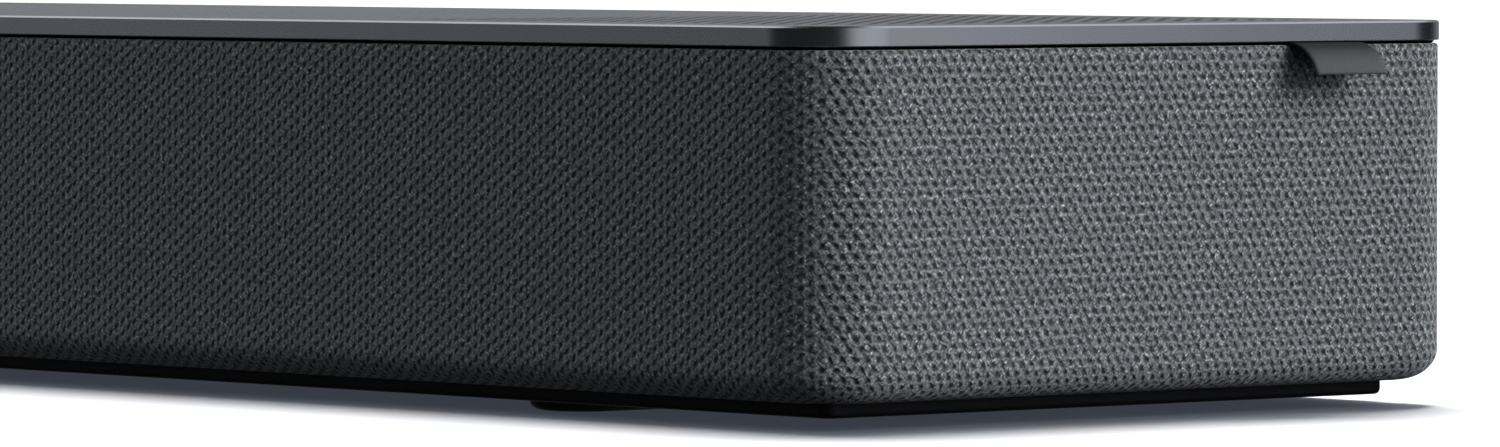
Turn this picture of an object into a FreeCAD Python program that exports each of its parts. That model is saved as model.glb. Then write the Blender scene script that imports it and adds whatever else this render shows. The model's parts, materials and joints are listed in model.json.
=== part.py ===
import FreeCAD, Part
import math
import os
import re
import Sketcher
from FreeCAD import Placement, Rotation, Vector

# Soundbar in millimetres. The origin is on the ground under the middle of the bar.
# The front faces -Y and +Z is up, so +X is on the right of a listener who faces the front.

doc = FreeCAD.newDocument("Soundbar")
sheet = doc.addObject("Spreadsheet::Sheet", "sheet")

sizes = {
    # whole bar
    "barWidth": 1000, "barDepth": 145, "barHeight": 65, "cornerRadius": 14, "footHeight": 2.2,
    # aluminium cover: a sheet with a deeper rim all round
    "coverHeight": 3.3, "coverSheet": 1.2, "coverRim": 3, "coverChamfer": 0.3,
    "tabWidth": 10, "tabThickness": 2, "tabLength": 3.8, "tabRow": 62, "tabSpacing": 300,
    "fieldMargin": 20, "fieldLength": 108, "fieldDepth": 111, "screenBorder": 2, "screenThickness": 0.4,
    # fabric and the frame it is stretched on
    "seamGap": 0.5, "fabricSetback": 0.2, "fabricFloor": 4.5, "fabricThickness": 1,
    "fabricBottomRadius": 6.5, "rearOpening": 956, "rearCutDepth": 50,
    "fitGap": 0.1, "frameWall": 2, "looseFit": 0.2,
    "slotWidth": 9, "slotHeight": 40, "slotFloor": 13, "slotSpan": 925, "slotCount": 75,
    # lower case
    "baseInset": 7, "baseEdge": 1, "baseRearInset": 13.5,
    "caseCorner": 2.5, "caseWall": 2.5, "caseFloor": 2.4,
    "caseTop": 57, "partitionPlace": 195, "partitionThickness": 2, "partitionHeight": 50,
    "baffleWindow": 940, "baffleWindowFloor": 7.5, "leadSlotWidth": 16, "leadSlotHeight": 10,
    "leadSlotPlace": -26, "deckBossRadius": 4, "deckHoleRadius": 1.25, "deckHoleDepth": 12,
    "deckBossFarX": 470, "deckBossNearX": 187.5, "deckBossRow": 50,
    "boardBossRadius": 3, "boardHoleRadius": 1, "boardHoleDepth": 6,
    "insertSpacingX": 600, "insertSpacingY": 80, "insertRadius": 3.5, "insertBore": 2.1,
    "insertLength": 8, "insertBossRadius": 6, "insertBossTop": 10.2,
    # front baffle and deck
    "baffleThickness": 3, "baffleHeight": 52, "baffleWidth": 972, "baffleFloor": 4.8,
    "deckGap": 0.2, "deckThickness": 2.2, "ribbonSlot": 14,
    # rear panel
    "panelThickness": 2.3, "panelFloor": 4.7, "panelTop": 61, "panelFlange": 2,
    "connectorLength": 262, "connectorX": 32, "cutOverrun": 4,
    "recessWall": 2.5, "recessFloor": 2.2, "recessLength": 140, "recessHeight": 31,
    "recessX": -20, "recessZ": 32, "inletRecessLength": 50, "inletRecessHeight": 31, "inletX": 130,
    # drivers
    "driverFlange": 1.6, "basketFloor": 2, "basketStep": 4, "basketWall": 3, "magnetRadius": 17,
    "coilRadius": 9.5, "coilWall": 0.8, "coilGap": 0.8, "coneWall": 0.8, "coneClearance": 2,
    "coneRimDrop": 0.3, "surroundLap": 2.5, "surroundInner": 3, "rollHeight": 2, "rollRadius": 1.8,
    "capHeight": 3, "screwInset": 2, "flangeHole": 1.1,
    "wooferCone": 10.3, "wooferCoil": 8, "upfireCone": 8.8, "upfireCoil": 8,
    "wooferLength": 104, "wooferWidth": 48, "wooferDepth": 16, "wooferMagnet": 12, "wooferX": 310,
    "upfireLength": 80, "upfireWidth": 56, "upfireDepth": 14, "upfireMagnet": 10, "upfireZ": 48,
    "upfireTilt": 12, "driverAxisZ": 32,
    "tweeterRadius": 17, "tweeterPot": 13.4, "tweeterPotDepth": 16, "tweeterCavity": 12.4,
    "tweeterCavityDepth": 4, "tweeterX": 225, "domeRadius": 14, "domeAngle": 48, "domeWall": 0.6,
    "domeLift": 13, "cradleLength": 108, "cradleWidth": 66, "cradlePlate": 3, "cradlePost": 3,
    "cradlePostX": 49, "cradlePostY": 25, "upfireOpeningLength": 88, "upfireOpeningWidth": 66,
    # boards
    "boardThickness": 1.6, "boardInset": 5,
    "mainLength": 156, "mainWidth": 60, "mainX": -12, "mainY": 22, "mainZ": 22,
    "ampLength": 84, "ampWidth": 60, "ampX": -140, "ampY": 10, "ampZ": 12,
    "powerLength": 106, "powerWidth": 62, "powerX": 127, "powerY": 9, "powerZ": 12,
    "sinkLength": 70, "sinkWidth": 30, "sinkBase": 4, "sinkHeight": 20, "sinkFin": 1.5,
    "sinkY": 14, "sinkLift": 3, "sinkPitch": 7.5, "coreX": 110, "coreY": 5, "coreLength": 34,
    "coreWidth": 28, "coreHeight": 24, "canX": 155, "canY": 2, "canPitch": 20, "canRadius": 8,
    "canHeight": 30, "displayX": 100, "displayLength": 50, "displayHeight": 16, "displayThickness": 1.2,
    "ledThickness": 1, "ledLength": 40, "ledHeight": 5,
    # sockets and the set-up button behind
    "socketDepth": 16, "socketHollow": 10, "inletDepth": 18, "inletHollow": 13, "inletBarrel": 4.2,
    "inletPin": 1.2, "inletPinPitch": 6.6, "buttonX": 30, "buttonZ": 40, "buttonRadius": 3,
    "buttonProud": 1, "buttonFlange": 4.2, "buttonFlangeGap": 0.4, "buttonFlangeThickness": 0.8,
    "buttonBack": 55.2, "riserWidth": 12, "riserHeight": 22, "riserY": 50.8, "riserSwitch": 3,
    # leads and screws
    "leadRadius": 1, "leadBend": 5, "leadLane": -23, "leadLanePitch": 2.6, "leadStartY": -12,
    "leadStartZ": 18, "leadFloorZ": 7, "ribbonWidth": 10, "ribbonThickness": 0.5, "ribbonBend": 3,
    "smallShank": 0.95, "smallHead": 1.9, "smallHeadHeight": 1.2, "driverScrewLength": 4.4,
    "boardHead": 2.2, "boardScrewLength": 6.5, "deckShank": 1.2, "deckHead": 2.6, "deckHeadHeight": 1.8,
    "deckScrewLength": 10,
    # keys
    "keyRadius": 4.4, "keyHole": 4.7, "keyPitch": 22, "keyRow": -45, "keySkirt": 5.6,
    "keySkirtHeight": 0.5, "keySkirtDrop": 0.3, "keyStem": 1.5, "keyStemLength": 0.2,
    "controlLength": 92, "controlWidth": 16, "controlZ": 59.8, "controlThickness": 1,
    "switchSize": 6, "switchHeight": 1.4,
    # feet
    "footLength": 44, "footWidth": 18, "footX": 412, "footFrontY": -36, "footRearY": 33,
    # label tab
    "tagWidth": 16, "tagY": 37.5, "tagThickness": 0.4, "tagRadius": 7.4, "tagTurn": 71, "tagRoot": 3,
}


def fillSheet():
    for row, (alias, number) in enumerate(sizes.items(), start=1):
        sheet.set("A%d" % row, alias)
        sheet.set("B%d" % row, str(number))
        sheet.setAlias("B%d" % row, alias)
    doc.recompute()


fillSheet()


def cell(text):
    # "barWidth / 2" becomes "sheet.barWidth / 2"
    return re.sub(r"\b([a-z][A-Za-z]+)\b", r"sheet.\1", str(text))


def value(text):
    # the number that such a text stands for
    names = {alias: float(sheet.get(alias)) for alias in re.findall(r"[a-z][A-Za-z]+", str(text))}
    for alias in sorted(names, key=len, reverse=True):
        text = re.sub(r"\b%s\b" % alias, "(%r)" % names[alias], str(text))
    total = sheet.evalExpression(str(text))
    return float(total)


def bind(thing, **texts):
    for name, text in texts.items():
        thing.setExpression(name, cell(text))


def place(thing, x="0", y="0", z="0", turn=None):
    if turn is not None:
        thing.Placement = Placement(Vector(value(x), value(y), value(z)), turn)
    for axis, text in zip("xyz", (x, y, z)):
        thing.setExpression("Placement.Base." + axis, cell(text))


# heights and faces that several pieces share
coverBottom = "(barHeight - coverHeight)"
sheetUnderside = "(barHeight - coverSheet)"
fabricTop = "(barHeight - coverHeight - seamGap)"
caseDepth = "(barDepth - baseInset - baseRearInset)"
caseMiddle = "((baseInset - baseRearInset) / 2)"
caseFront = "(baseInset - barDepth / 2)"
caseRear = "(barDepth / 2 - baseRearInset)"
caseWidth = "(barWidth - 2 * baseInset)"
floorTop = "(footHeight + caseFloor)"
baffleFace = "(baseInset - barDepth / 2 + caseWall + 0.5)"
deckBottom = "(caseTop + deckGap)"
deckTop = "(caseTop + deckGap + deckThickness)"
recessFace = "(barDepth / 2 - baseRearInset + looseFit + recessFloor)"
fieldX = "(barWidth / 2 - fieldMargin - fieldLength / 2)"

facingFront = Rotation(Vector(1, 0, 0), 90)
facingUp = Rotation(Vector(1, 0, 0), value("upfireTilt"))


# ---- Part helpers: blocks and rods whose sizes are bound to the sheet

def block(name, length, width, height, x="0", y="0", z="0"):
    # centred on x and y, standing on z
    made = doc.addObject("Part::Box", name)
    bind(made, Length=length, Width=width, Height=height)
    place(made, "%s - (%s) / 2" % (x, length), "%s - (%s) / 2" % (y, width), z)
    return made


def rod(name, radius, height, x="0", y="0", z="0", turn=None):
    made = doc.addObject("Part::Cylinder", name)
    bind(made, Radius=radius, Height=height)
    place(made, x, y, z, turn)
    return made


def joined(name, pieces):
    made = doc.addObject("Part::MultiFuse", name)
    made.Shapes = pieces
    made.Label = name
    return made


def lessened(name, base, tools):
    made = doc.addObject("Part::Cut", name)
    made.Base = base
    made.Tool = tools[0] if len(tools) == 1 else joined(name + "Tools", tools)
    made.Label = name
    return made


def grouped(name, pieces):
    made = doc.addObject("Part::Compound", name)
    made.Links = pieces
    made.Label = name
    return made


# ---- PartDesign helpers: bodies, sketches and features bound to the sheet

def newBody(name, x="0", y="0", z="0", turn=None):
    made = doc.addObject("PartDesign::Body", name)
    made.Label = name
    place(made, x, y, z, turn)
    return made


def newSketch(body, name, lift="0", role="XY_Plane"):
    made = body.newObject("Sketcher::SketchObject", body.Name + name)
    plane = [item for item in body.Origin.OriginFeatures if item.Role == role][0]
    made.AttachmentSupport = [(plane, "")]
    made.MapMode = "FlatFace"
    made.setExpression("AttachmentOffset.Base.z", cell(lift))
    return made


def hold(sketch, *parts, text=None):
    number = [] if text is None else [value(text)]
    index = sketch.addConstraint(Sketcher.Constraint(*parts, *number))
    if text is not None:
        sketch.setExpression("Constraints[%d]" % index, cell(text))


def addRectangle(sketch, width, height, x="0", y="0"):
    low = Vector(value("%s - (%s) / 2" % (x, width)), value("%s - (%s) / 2" % (y, height)), 0)
    high = Vector(value("%s + (%s) / 2" % (x, width)), value("%s + (%s) / 2" % (y, height)), 0)
    corners = [low, Vector(high.x, low.y, 0), high, Vector(low.x, high.y, 0)]
    sides = [sketch.addGeometry(Part.LineSegment(corners[i], corners[(i + 1) % 4])) for i in range(4)]
    for i in range(4):
        hold(sketch, "Coincident", sides[i], 2, sides[(i + 1) % 4], 1)
        hold(sketch, "Horizontal" if i % 2 == 0 else "Vertical", sides[i])
    hold(sketch, "DistanceX", sides[0], 1, sides[0], 2, text=width)
    hold(sketch, "DistanceY", sides[1], 1, sides[1], 2, text=height)
    hold(sketch, "DistanceX", -1, 1, sides[0], 1, text="%s - (%s) / 2" % (x, width))
    hold(sketch, "DistanceY", -1, 1, sides[0], 1, text="%s - (%s) / 2" % (y, height))


def addRounded(sketch, width, height, radius, y="0"):
    # a rectangle with four equal round corners, centred on x = 0
    halfWidth, halfHeight, r = value(width) / 2, value(height) / 2, value(radius)
    middle = value(y)
    sides, turns = [], []
    for quarter in range(4):
        sx = (1, 1, -1, -1)[quarter]
        sy = (-1, 1, 1, -1)[quarter]
        centre = Vector(sx * (halfWidth - r), middle + sy * (halfHeight - r), 0)
        start = math.radians(90 * quarter - 90)
        circle = Part.Circle(centre, Vector(0, 0, 1), r)
        turns.append(sketch.addGeometry(Part.ArcOfCircle(circle, start, start + math.pi / 2)))
    for quarter in range(4):
        ahead = sketch.Geometry[turns[(quarter + 1) % 4]].StartPoint
        behind = sketch.Geometry[turns[quarter]].EndPoint
        sides.append(sketch.addGeometry(Part.LineSegment(behind, ahead)))
    for quarter in range(4):
        hold(sketch, "Tangent", turns[quarter], 2, sides[quarter], 1)
        hold(sketch, "Tangent", sides[quarter], 2, turns[(quarter + 1) % 4], 1)
        hold(sketch, "Vertical" if quarter % 2 == 0 else "Horizontal", sides[quarter])
    for quarter in range(1, 4):
        hold(sketch, "Equal", turns[0], turns[quarter])
    hold(sketch, "Radius", turns[0], text=radius)
    hold(sketch, "DistanceX", turns[3], 3, turns[0], 3, text="%s - 2 * %s" % (width, radius))
    hold(sketch, "DistanceY", turns[0], 3, turns[1], 3, text="%s - 2 * %s" % (height, radius))
    hold(sketch, "DistanceX", -1, 1, turns[0], 3, text="(%s) / 2 - %s" % (width, radius))
    hold(sketch, "DistanceY", -1, 1, turns[0], 3, text="%s - (%s) / 2 + %s" % (y, height, radius))


def addStadium(sketch, length, width, x="0", y="0"):
    # two straight sides along X joined by two half circles
    reach = value("(%s - (%s)) / 2" % (length, width))
    r, cx, cy = value(width) / 2, value(x), value(y)
    right = Part.Circle(Vector(cx + reach, cy, 0), Vector(0, 0, 1), r)
    left = Part.Circle(Vector(cx - reach, cy, 0), Vector(0, 0, 1), r)
    rightEnd = sketch.addGeometry(Part.ArcOfCircle(right, -math.pi / 2, math.pi / 2))
    leftEnd = sketch.addGeometry(Part.ArcOfCircle(left, math.pi / 2, 3 * math.pi / 2))
    top = sketch.addGeometry(Part.LineSegment(Vector(cx + reach, cy + r, 0), Vector(cx - reach, cy + r, 0)))
    low = sketch.addGeometry(Part.LineSegment(Vector(cx - reach, cy - r, 0), Vector(cx + reach, cy - r, 0)))
    hold(sketch, "Tangent", rightEnd, 2, top, 1)
    hold(sketch, "Tangent", top, 2, leftEnd, 1)
    hold(sketch, "Tangent", leftEnd, 2, low, 1)
    hold(sketch, "Tangent", low, 2, rightEnd, 1)
    hold(sketch, "Horizontal", top)
    hold(sketch, "Radius", rightEnd, text="(%s) / 2" % width)
    hold(sketch, "DistanceX", leftEnd, 3, rightEnd, 3, text="%s - (%s)" % (length, width))
    hold(sketch, "DistanceX", -1, 1, rightEnd, 3, text="%s + (%s - (%s)) / 2" % (x, length, width))
    hold(sketch, "DistanceY", -1, 1, rightEnd, 3, text=y)


def addCircle(sketch, radius, x="0", y="0"):
    centre = Vector(value(x), value(y), 0)
    ring = sketch.addGeometry(Part.Circle(centre, Vector(0, 0, 1), value(radius)))
    hold(sketch, "Radius", ring, text=radius)
    hold(sketch, "DistanceX", -1, 1, ring, 3, text=x)
    hold(sketch, "DistanceY", -1, 1, ring, 3, text=y)


def pad(body, sketch, length, down=False):
    made = body.newObject("PartDesign::Pad", sketch.Name + "Pad")
    made.Profile = sketch
    bind(made, Length=length)
    made.Reversed = down
    body.Tip = made
    doc.recompute()
    return made


def pocket(body, sketch, length, up=False):
    before = body.Shape.Volume
    made = body.newObject("PartDesign::Pocket", sketch.Name + "Pocket")
    made.Profile = sketch
    bind(made, Length=length)
    made.Reversed = up
    body.Tip = made
    doc.recompute()
    if body.Shape.Volume > before - 1e-3:
        raise RuntimeError(made.Name + " removed nothing")
    return made


def loft(body, kind, first, last):
    made = body.newObject("PartDesign::" + kind, first.Name + "Loft")
    made.Profile = first
    made.Sections = [last]
    body.Tip = made
    doc.recompute()
    return made


def softened(body, kind, amount, wanted):
    # rounds or bevels the edges of the last feature for which wanted(edge) is true
    base = body.Tip
    names = ["Edge%d" % (i + 1) for i, edge in enumerate(base.Shape.Edges) if wanted(edge)]
    made = body.newObject("PartDesign::" + kind, base.Name + kind)
    made.Base = (base, names)
    bind(made, **{"Size" if kind == "Chamfer" else "Radius": amount})
    body.Tip = made
    doc.recompute()
    return made


def level(height):
    def wanted(edge):
        return all(abs(vertex.Z - height) < 1e-4 for vertex in edge.Vertexes)
    return wanted


# ---- covers and shells

def makeTopCover():
    cover = newBody("top_cover", z=coverBottom)
    outline = newSketch(cover, "Outline")
    addRounded(outline, "barWidth", "barDepth", "cornerRadius")
    pad(cover, outline, "coverHeight")
    top = level(value("coverHeight"))
    softened(cover, "Chamfer", "coverChamfer", top)
    hollow = newSketch(cover, "Hollow")
    addRounded(hollow, "barWidth - 2 * coverRim", "barDepth - 2 * coverRim", "(cornerRadius - coverRim)")
    pocket(cover, hollow, "coverHeight - coverSheet", up=True)
    tabs = newSketch(cover, "Tabs", lift="coverHeight - coverSheet")
    for step in (-1.5, -0.5, 0.5, 1.5):
        for side in (-1, 1):
            addRectangle(tabs, "tabWidth", "tabThickness", "%s * tabSpacing" % step, "%s * tabRow" % side)
    pad(cover, tabs, "tabLength", down=True)
    holes = newSketch(cover, "KeyHoles", lift="coverHeight")
    for step in (-1.5, -0.5, 0.5, 1.5):
        addCircle(holes, "keyHole", "%s * keyPitch" % step, "keyRow")
    pocket(cover, holes, "coverHeight")
    return cover


def makeWrap(name, inset, wall, floor, top, bottomRadius):
    # a wall round the front, both ends and the rear corners, turned in under the bottom edge
    wrap = newBody(name, z=floor)
    height = "(%s - (%s))" % (top, floor)
    outline = newSketch(wrap, "Outline")
    radius = "(cornerRadius - (%s))" % inset
    addRounded(outline, "barWidth - 2 * (%s)" % inset, "barDepth - 2 * (%s)" % inset, radius)
    pad(wrap, outline, height)
    inner = newSketch(wrap, "Inner", lift=height)
    innerInset = "(%s + %s)" % (inset, wall)
    innerRadius = "(cornerRadius - %s)" % innerInset
    addRounded(inner, "barWidth - 2 * %s" % innerInset, "barDepth - 2 * %s" % innerInset, innerRadius)
    pocket(wrap, inner, "%s - %s" % (height, wall))
    depth = value(wall)

    def innerCorner(edge):
        flat = all(abs(vertex.Z - depth) < 1e-4 for vertex in edge.Vertexes)
        return flat and edge.BoundBox.ZLength < 1e-4
    softened(wrap, "Fillet", "%s - %s" % (bottomRadius, wall), innerCorner)
    softened(wrap, "Fillet", bottomRadius, level(0))
    mouth = newSketch(wrap, "Mouth")
    addRectangle(mouth, caseWidth + " + 2 * looseFit", caseDepth + " + 2 * looseFit", "0", caseMiddle)
    pocket(wrap, mouth, height, up=True)
    rear = newSketch(wrap, "RearOpening")
    # reaches from the back of the case out past the back of the fabric
    behind = caseRear + " + rearCutDepth / 2"
    addRectangle(rear, "rearOpening", "rearCutDepth", "0", behind)
    pocket(wrap, rear, height, up=True)
    return wrap


def makeGrilleFrame():
    inset = "(fabricSetback + fabricThickness + fitGap)"
    floor = "(fabricFloor + fabricThickness + fitGap)"
    radius = "(fabricBottomRadius - fabricThickness - fitGap)"
    frame = makeWrap("grille_frame", inset, "frameWall", floor, fabricTop, radius)
    # a row of upright slots lets the sound of the front drivers through
    slot = newSketch(frame, "Slot", lift="barDepth / 2 - 4", role="XZ_Plane")
    middle = "slotFloor + slotHeight / 2 - (%s)" % floor
    addRectangle(slot, "slotWidth", "slotHeight", "-slotSpan / 2", middle)
    first = pocket(frame, slot, "6", up=True)
    row = frame.newObject("PartDesign::LinearPattern", "grille_frameSlots")
    row.Originals = [first]
    row.Direction = (slot, ["H_Axis"])
    bind(row, Length="slotSpan", Occurrences="slotCount")
    frame.Tip = row
    doc.recompute()
    return frame


def makeLabelTab():
    # a folded ribbon that leaves the seam level, then curls over and down
    tab = newBody("label_tab", y="tagY + tagWidth / 2")
    side = newSketch(tab, "Side", role="XZ_Plane")
    outer, wall = value("tagRadius"), value("tagThickness")
    turn = math.radians(value("tagTurn"))
    edgeX, topZ = value("barWidth / 2"), value(coverBottom) - 0.05
    centre = Vector(edgeX, topZ - outer, 0)
    up = Vector(0, 0, 1)
    arcs = []
    for radius in (outer, outer - wall):
        circle = Part.Circle(centre, up, radius)
        arcs.append(side.addGeometry(Part.ArcOfCircle(circle, math.pi / 2 - turn, math.pi / 2)))
    root = edgeX - value("tagRoot")
    start, finish = side.Geometry[arcs[0]].EndPoint, side.Geometry[arcs[1]].EndPoint
    over = side.addGeometry(Part.LineSegment(start, Vector(root, start.y, 0)))
    back = side.addGeometry(Part.LineSegment(Vector(root, start.y, 0), Vector(root, finish.y, 0)))
    under = side.addGeometry(Part.LineSegment(Vector(root, finish.y, 0), finish))
    cut = Part.LineSegment(side.Geometry[arcs[1]].StartPoint, side.Geometry[arcs[0]].StartPoint)
    close = side.addGeometry(cut)
    hold(side, "Tangent", arcs[0], 2, over, 1)
    hold(side, "Coincident", over, 2, back, 1)
    hold(side, "Coincident", back, 2, under, 1)
    hold(side, "Tangent", under, 2, arcs[1], 2)
    hold(side, "Coincident", arcs[1], 1, close, 1)
    hold(side, "Coincident", close, 2, arcs[0], 1)
    hold(side, "Horizontal", over)
    hold(side, "Vertical", back)
    hold(side, "Coincident", arcs[0], 3, arcs[1], 3)
    hold(side, "Radius", arcs[0], text="tagRadius")
    hold(side, "Radius", arcs[1], text="tagRadius - tagThickness")
    pad(tab, side, "tagWidth")
    return tab


def makeLowerCase():
    # an open tray with the drivers' window in front and the sockets' windows behind
    case = newBody("lower_case", z="footHeight")
    height = "(caseTop - footHeight)"
    outline = newSketch(case, "Outline")
    addRounded(outline, caseWidth, caseDepth, "caseCorner", caseMiddle)
    pad(case, outline, height)
    softened(case, "Fillet", "baseEdge", level(0))
    inner = newSketch(case, "Inner", lift=height)
    addRectangle(inner, caseWidth + " - 2 * caseWall", caseDepth + " - 2 * caseWall", "0", caseMiddle)
    pocket(case, inner, height + " - caseFloor")
    front = newSketch(case, "FrontWindow", lift="-(%s) - caseWall - 1" % caseFront, role="XZ_Plane")
    opening = "(caseTop - baffleWindowFloor + 4)"
    addRectangle(front, "baffleWindow", opening, "0", "baffleWindowFloor - footHeight + %s / 2" % opening)
    pocket(case, front, "caseWall + 3", up=True)
    rear = newSketch(case, "RearWindows", lift="-(%s) - 1" % caseRear, role="XZ_Plane")
    addRectangle(rear, "recessLength - 4", "recessHeight - 4", "recessX", "recessZ - footHeight")
    addRectangle(rear, "inletRecessLength - 4", "inletRecessHeight - 4", "inletX", "recessZ - footHeight")
    pocket(case, rear, "caseWall + 2", up=True)
    ribs = newSketch(case, "Partitions", lift="caseFloor")
    ribFront = "(%s + baffleThickness + 0.4)" % baffleFace
    ribBack = "(%s - caseWall)" % caseRear
    for side in (-1, 1):
        middle = "(%s + %s) / 2" % (ribFront, ribBack)
        addRectangle(ribs, "partitionThickness", "%s - %s" % (ribBack, ribFront),
                     "%s * partitionPlace" % side, middle)
    pad(case, ribs, "partitionHeight")
    slots = newSketch(case, "LeadSlots", lift="caseFloor")
    for side in (-1, 1):
        addRectangle(slots, "3 * partitionThickness", "leadSlotWidth",
                     "%s * partitionPlace" % side, "leadSlotPlace")
    pocket(case, slots, "leadSlotHeight", up=True)
    addBosses(case, "DeckBosses", deckScrewSpots(), "deckBossRadius", height + " - caseFloor",
              "deckHoleRadius", "deckHoleDepth")
    for name, spots in boardSpots().items():
        top = "(%sZ - %s)" % (name, floorTop)
        addBosses(case, name + "Bosses", spots, "boardBossRadius", top, "boardHoleRadius", "boardHoleDepth")
    studs = newSketch(case, "InsertBosses", lift="caseFloor")
    seats = newSketch(case, "InsertSeats")
    for x, y in insertSpots():
        addCircle(studs, "insertBossRadius", x, y)
        addCircle(seats, "insertRadius", x, y)
    pad(case, studs, "insertBossTop - caseFloor")
    pocket(case, seats, "insertLength", up=True)
    return case


def addBosses(body, name, spots, radius, height, holeRadius, holeDepth):
    posts = newSketch(body, name, lift="caseFloor")
    holes = newSketch(body, name + "Holes", lift="caseFloor + %s" % height)
    for x, y in spots:
        addCircle(posts, radius, x, y)
        addCircle(holes, holeRadius, x, y)
    pad(body, posts, height)
    pocket(body, holes, holeDepth)


def deckScrewSpots():
    spots = []
    for x in ("deckBossFarX", "deckBossNearX"):
        for sx in (-1, 1):
            for sy in (-1, 1):
                spots.append(("%s * %s" % (sx, x), "%s * deckBossRow" % sy))
    return spots


def boardSpots():
    spots = {}
    for name in ("main", "amp", "power"):
        spots[name] = []
        for sx in (-1, 1):
            for sy in (-1, 1):
                x = "%sX + %s * (%sLength / 2 - boardInset)" % (name, sx, name)
                y = "%sY + %s * (%sWidth / 2 - boardInset)" % (name, sy, name)
                spots[name].append((x, y))
    return spots


def insertSpots():
    halves = ("insertSpacingX / 2", "insertSpacingY / 2")
    return [("%s * %s" % (sx, halves[0]), "%s * %s" % (sy, halves[1])) for sx in (-1, 1) for sy in (-1, 1)]


def basketHole(sketch, name, x, y="0"):
    length = "(%sLength - 2 * basketStep + 2 * looseFit)" % name
    addStadium(sketch, length, "(%sWidth - 2 * basketStep + 2 * looseFit)" % name, x, y)


def driverScrewSpots(name):
    # two above and two below the cone, on the straight sides of the flange
    reach = "(%sLength - %sWidth) / 2" % (name, name)
    row = "(%sWidth / 2 - screwInset)" % name
    return [("%s * %s" % (sx, reach), "%s * %s" % (sy, row)) for sx in (-1, 1) for sy in (-1, 1)]


def makeFrontBaffle():
    baffle = newBody("front_baffle")
    face = newSketch(baffle, "Face", lift="-(%s) - baffleThickness" % baffleFace, role="XZ_Plane")
    addRectangle(face, "baffleWidth", "baffleHeight", "0", "baffleFloor + baffleHeight / 2")
    pad(baffle, face, "baffleThickness")
    holes = newSketch(baffle, "Holes", lift="-(%s) - baffleThickness - 1" % baffleFace, role="XZ_Plane")
    for x in wooferPlaces.values():
        basketHole(holes, "woofer", x, "driverAxisZ")
        for dx, dz in driverScrewSpots("woofer"):
            addCircle(holes, "boardHoleRadius", "%s + %s" % (x, dx), "driverAxisZ + %s" % dz)
    for x in tweeterPlaces.values():
        addCircle(holes, "tweeterPot + looseFit", x, "driverAxisZ")
    pocket(baffle, holes, "baffleThickness + 2", up=True)
    return baffle


def makeTopDeck():
    deck = newBody("top_deck", z=deckBottom)
    outline = newSketch(deck, "Outline")
    addRounded(outline, caseWidth, caseDepth, "caseCorner", caseMiddle)
    pad(deck, outline, "deckThickness")
    holes = newSketch(deck, "Openings", lift="deckThickness")
    for side in (-1, 1):
        addRectangle(holes, "upfireOpeningLength", "upfireOpeningWidth", "%s * %s" % (side, fieldX), "0")
    addRectangle(holes, "ribbonSlot", "ribbonSlot / 2", "0", "leadSlotPlace")
    for x, y in deckScrewSpots():
        addCircle(holes, "deckHoleRadius + looseFit", x, y)
    pocket(deck, holes, "deckThickness")
    return deck


def makeRearPanels():
    # three flush panels side by side, each with a flange over the back of the case;
    # the middle one has windows onto two sunk pans where the leads plug in
    height = "(panelTop - panelFloor)"
    back = "(barDepth / 2 - fabricSetback)"
    face = "(%s - panelThickness / 2)" % back
    inside = "(%s + looseFit)" % caseRear
    flangeDepth = "(%s - panelThickness - %s)" % (back, inside)
    flangeY = "%s + %s / 2" % (inside, flangeDepth)
    reach = "(rearOpening / 2 - looseFit)"
    connectorLeft = "(connectorX - connectorLength / 2)"
    connectorRight = "(connectorX + connectorLength / 2)"
    spans = {
        "rear_panel_left": ("-" + reach, "(%s - looseFit)" % connectorLeft),
        "connector_panel": (connectorLeft, connectorRight),
        "rear_panel_right": ("(%s + looseFit)" % connectorRight, reach),
    }
    made = {}
    for name, (start, end) in spans.items():
        length = "(%s - %s)" % (end, start)
        middle = "(%s + %s) / 2" % (start, end)
        made[name] = [
            block("Sheet_" + name, length, "panelThickness", height, middle, face, "panelFloor"),
            block("Flange_" + name, length, flangeDepth, "panelFlange", middle, flangeY, "panelFloor"),
        ]
    joined("rear_panel_left", made["rear_panel_left"])
    joined("rear_panel_right", made["rear_panel_right"])
    pans = {
        "connector_pan": ("recessX", "recessLength", "recessHeight",
                          ("hdmi_input", "hdmi_output", "optical_socket", "usb_socket")),
        "inlet_pan": ("inletX", "inletRecessLength", "inletRecessHeight", ("mains_inlet",)),
    }
    hollowDepth = "(%s - %s + cutOverrun)" % (back, recessFace)
    hollowY = "%s + %s / 2" % (recessFace, hollowDepth)
    windows = []
    for pan, (x, length, tall, sockets) in pans.items():
        floorZ = "(recessZ - %s / 2)" % tall
        windows.append(block("Window_" + pan, length, hollowDepth, tall, x, hollowY, floorZ))
        shell = block("Shell_" + pan, length + " + 2 * recessWall", flangeDepth,
                      tall + " + 2 * recessWall", x, flangeY, floorZ + " - recessWall")
        tools = [block("Hollow_" + pan, length, hollowDepth, tall, x, hollowY, floorZ)]
        for name in sockets:
            socketX, socketZ, wide, high = socketPlaces[name]
            gap = " + 2 * looseFit"
            tools.append(block("CutFor_" + name, wide + gap, "recessFloor + cutOverrun", high + gap,
                               socketX, recessFace, "%s - looseFit" % socketZ))
        if pan == "connector_pan":
            tools.append(rod("CutForButton", "buttonRadius + looseFit", "recessFloor + cutOverrun", "buttonX",
                             recessFace + " + cutOverrun / 2", "buttonZ", facingFront))
        lessened(pan, shell, tools)
    lessened("connector_panel", joined("ConnectorSolids", made["connector_panel"]), windows)


# ---- loudspeaker drivers, each built facing +Z with its flange standing on z = 0

wooferPlaces = {"left": "-wooferX", "center": "0", "right": "wooferX"}
tweeterPlaces = {"left": "-tweeterX", "right": "tweeterX"}


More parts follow.
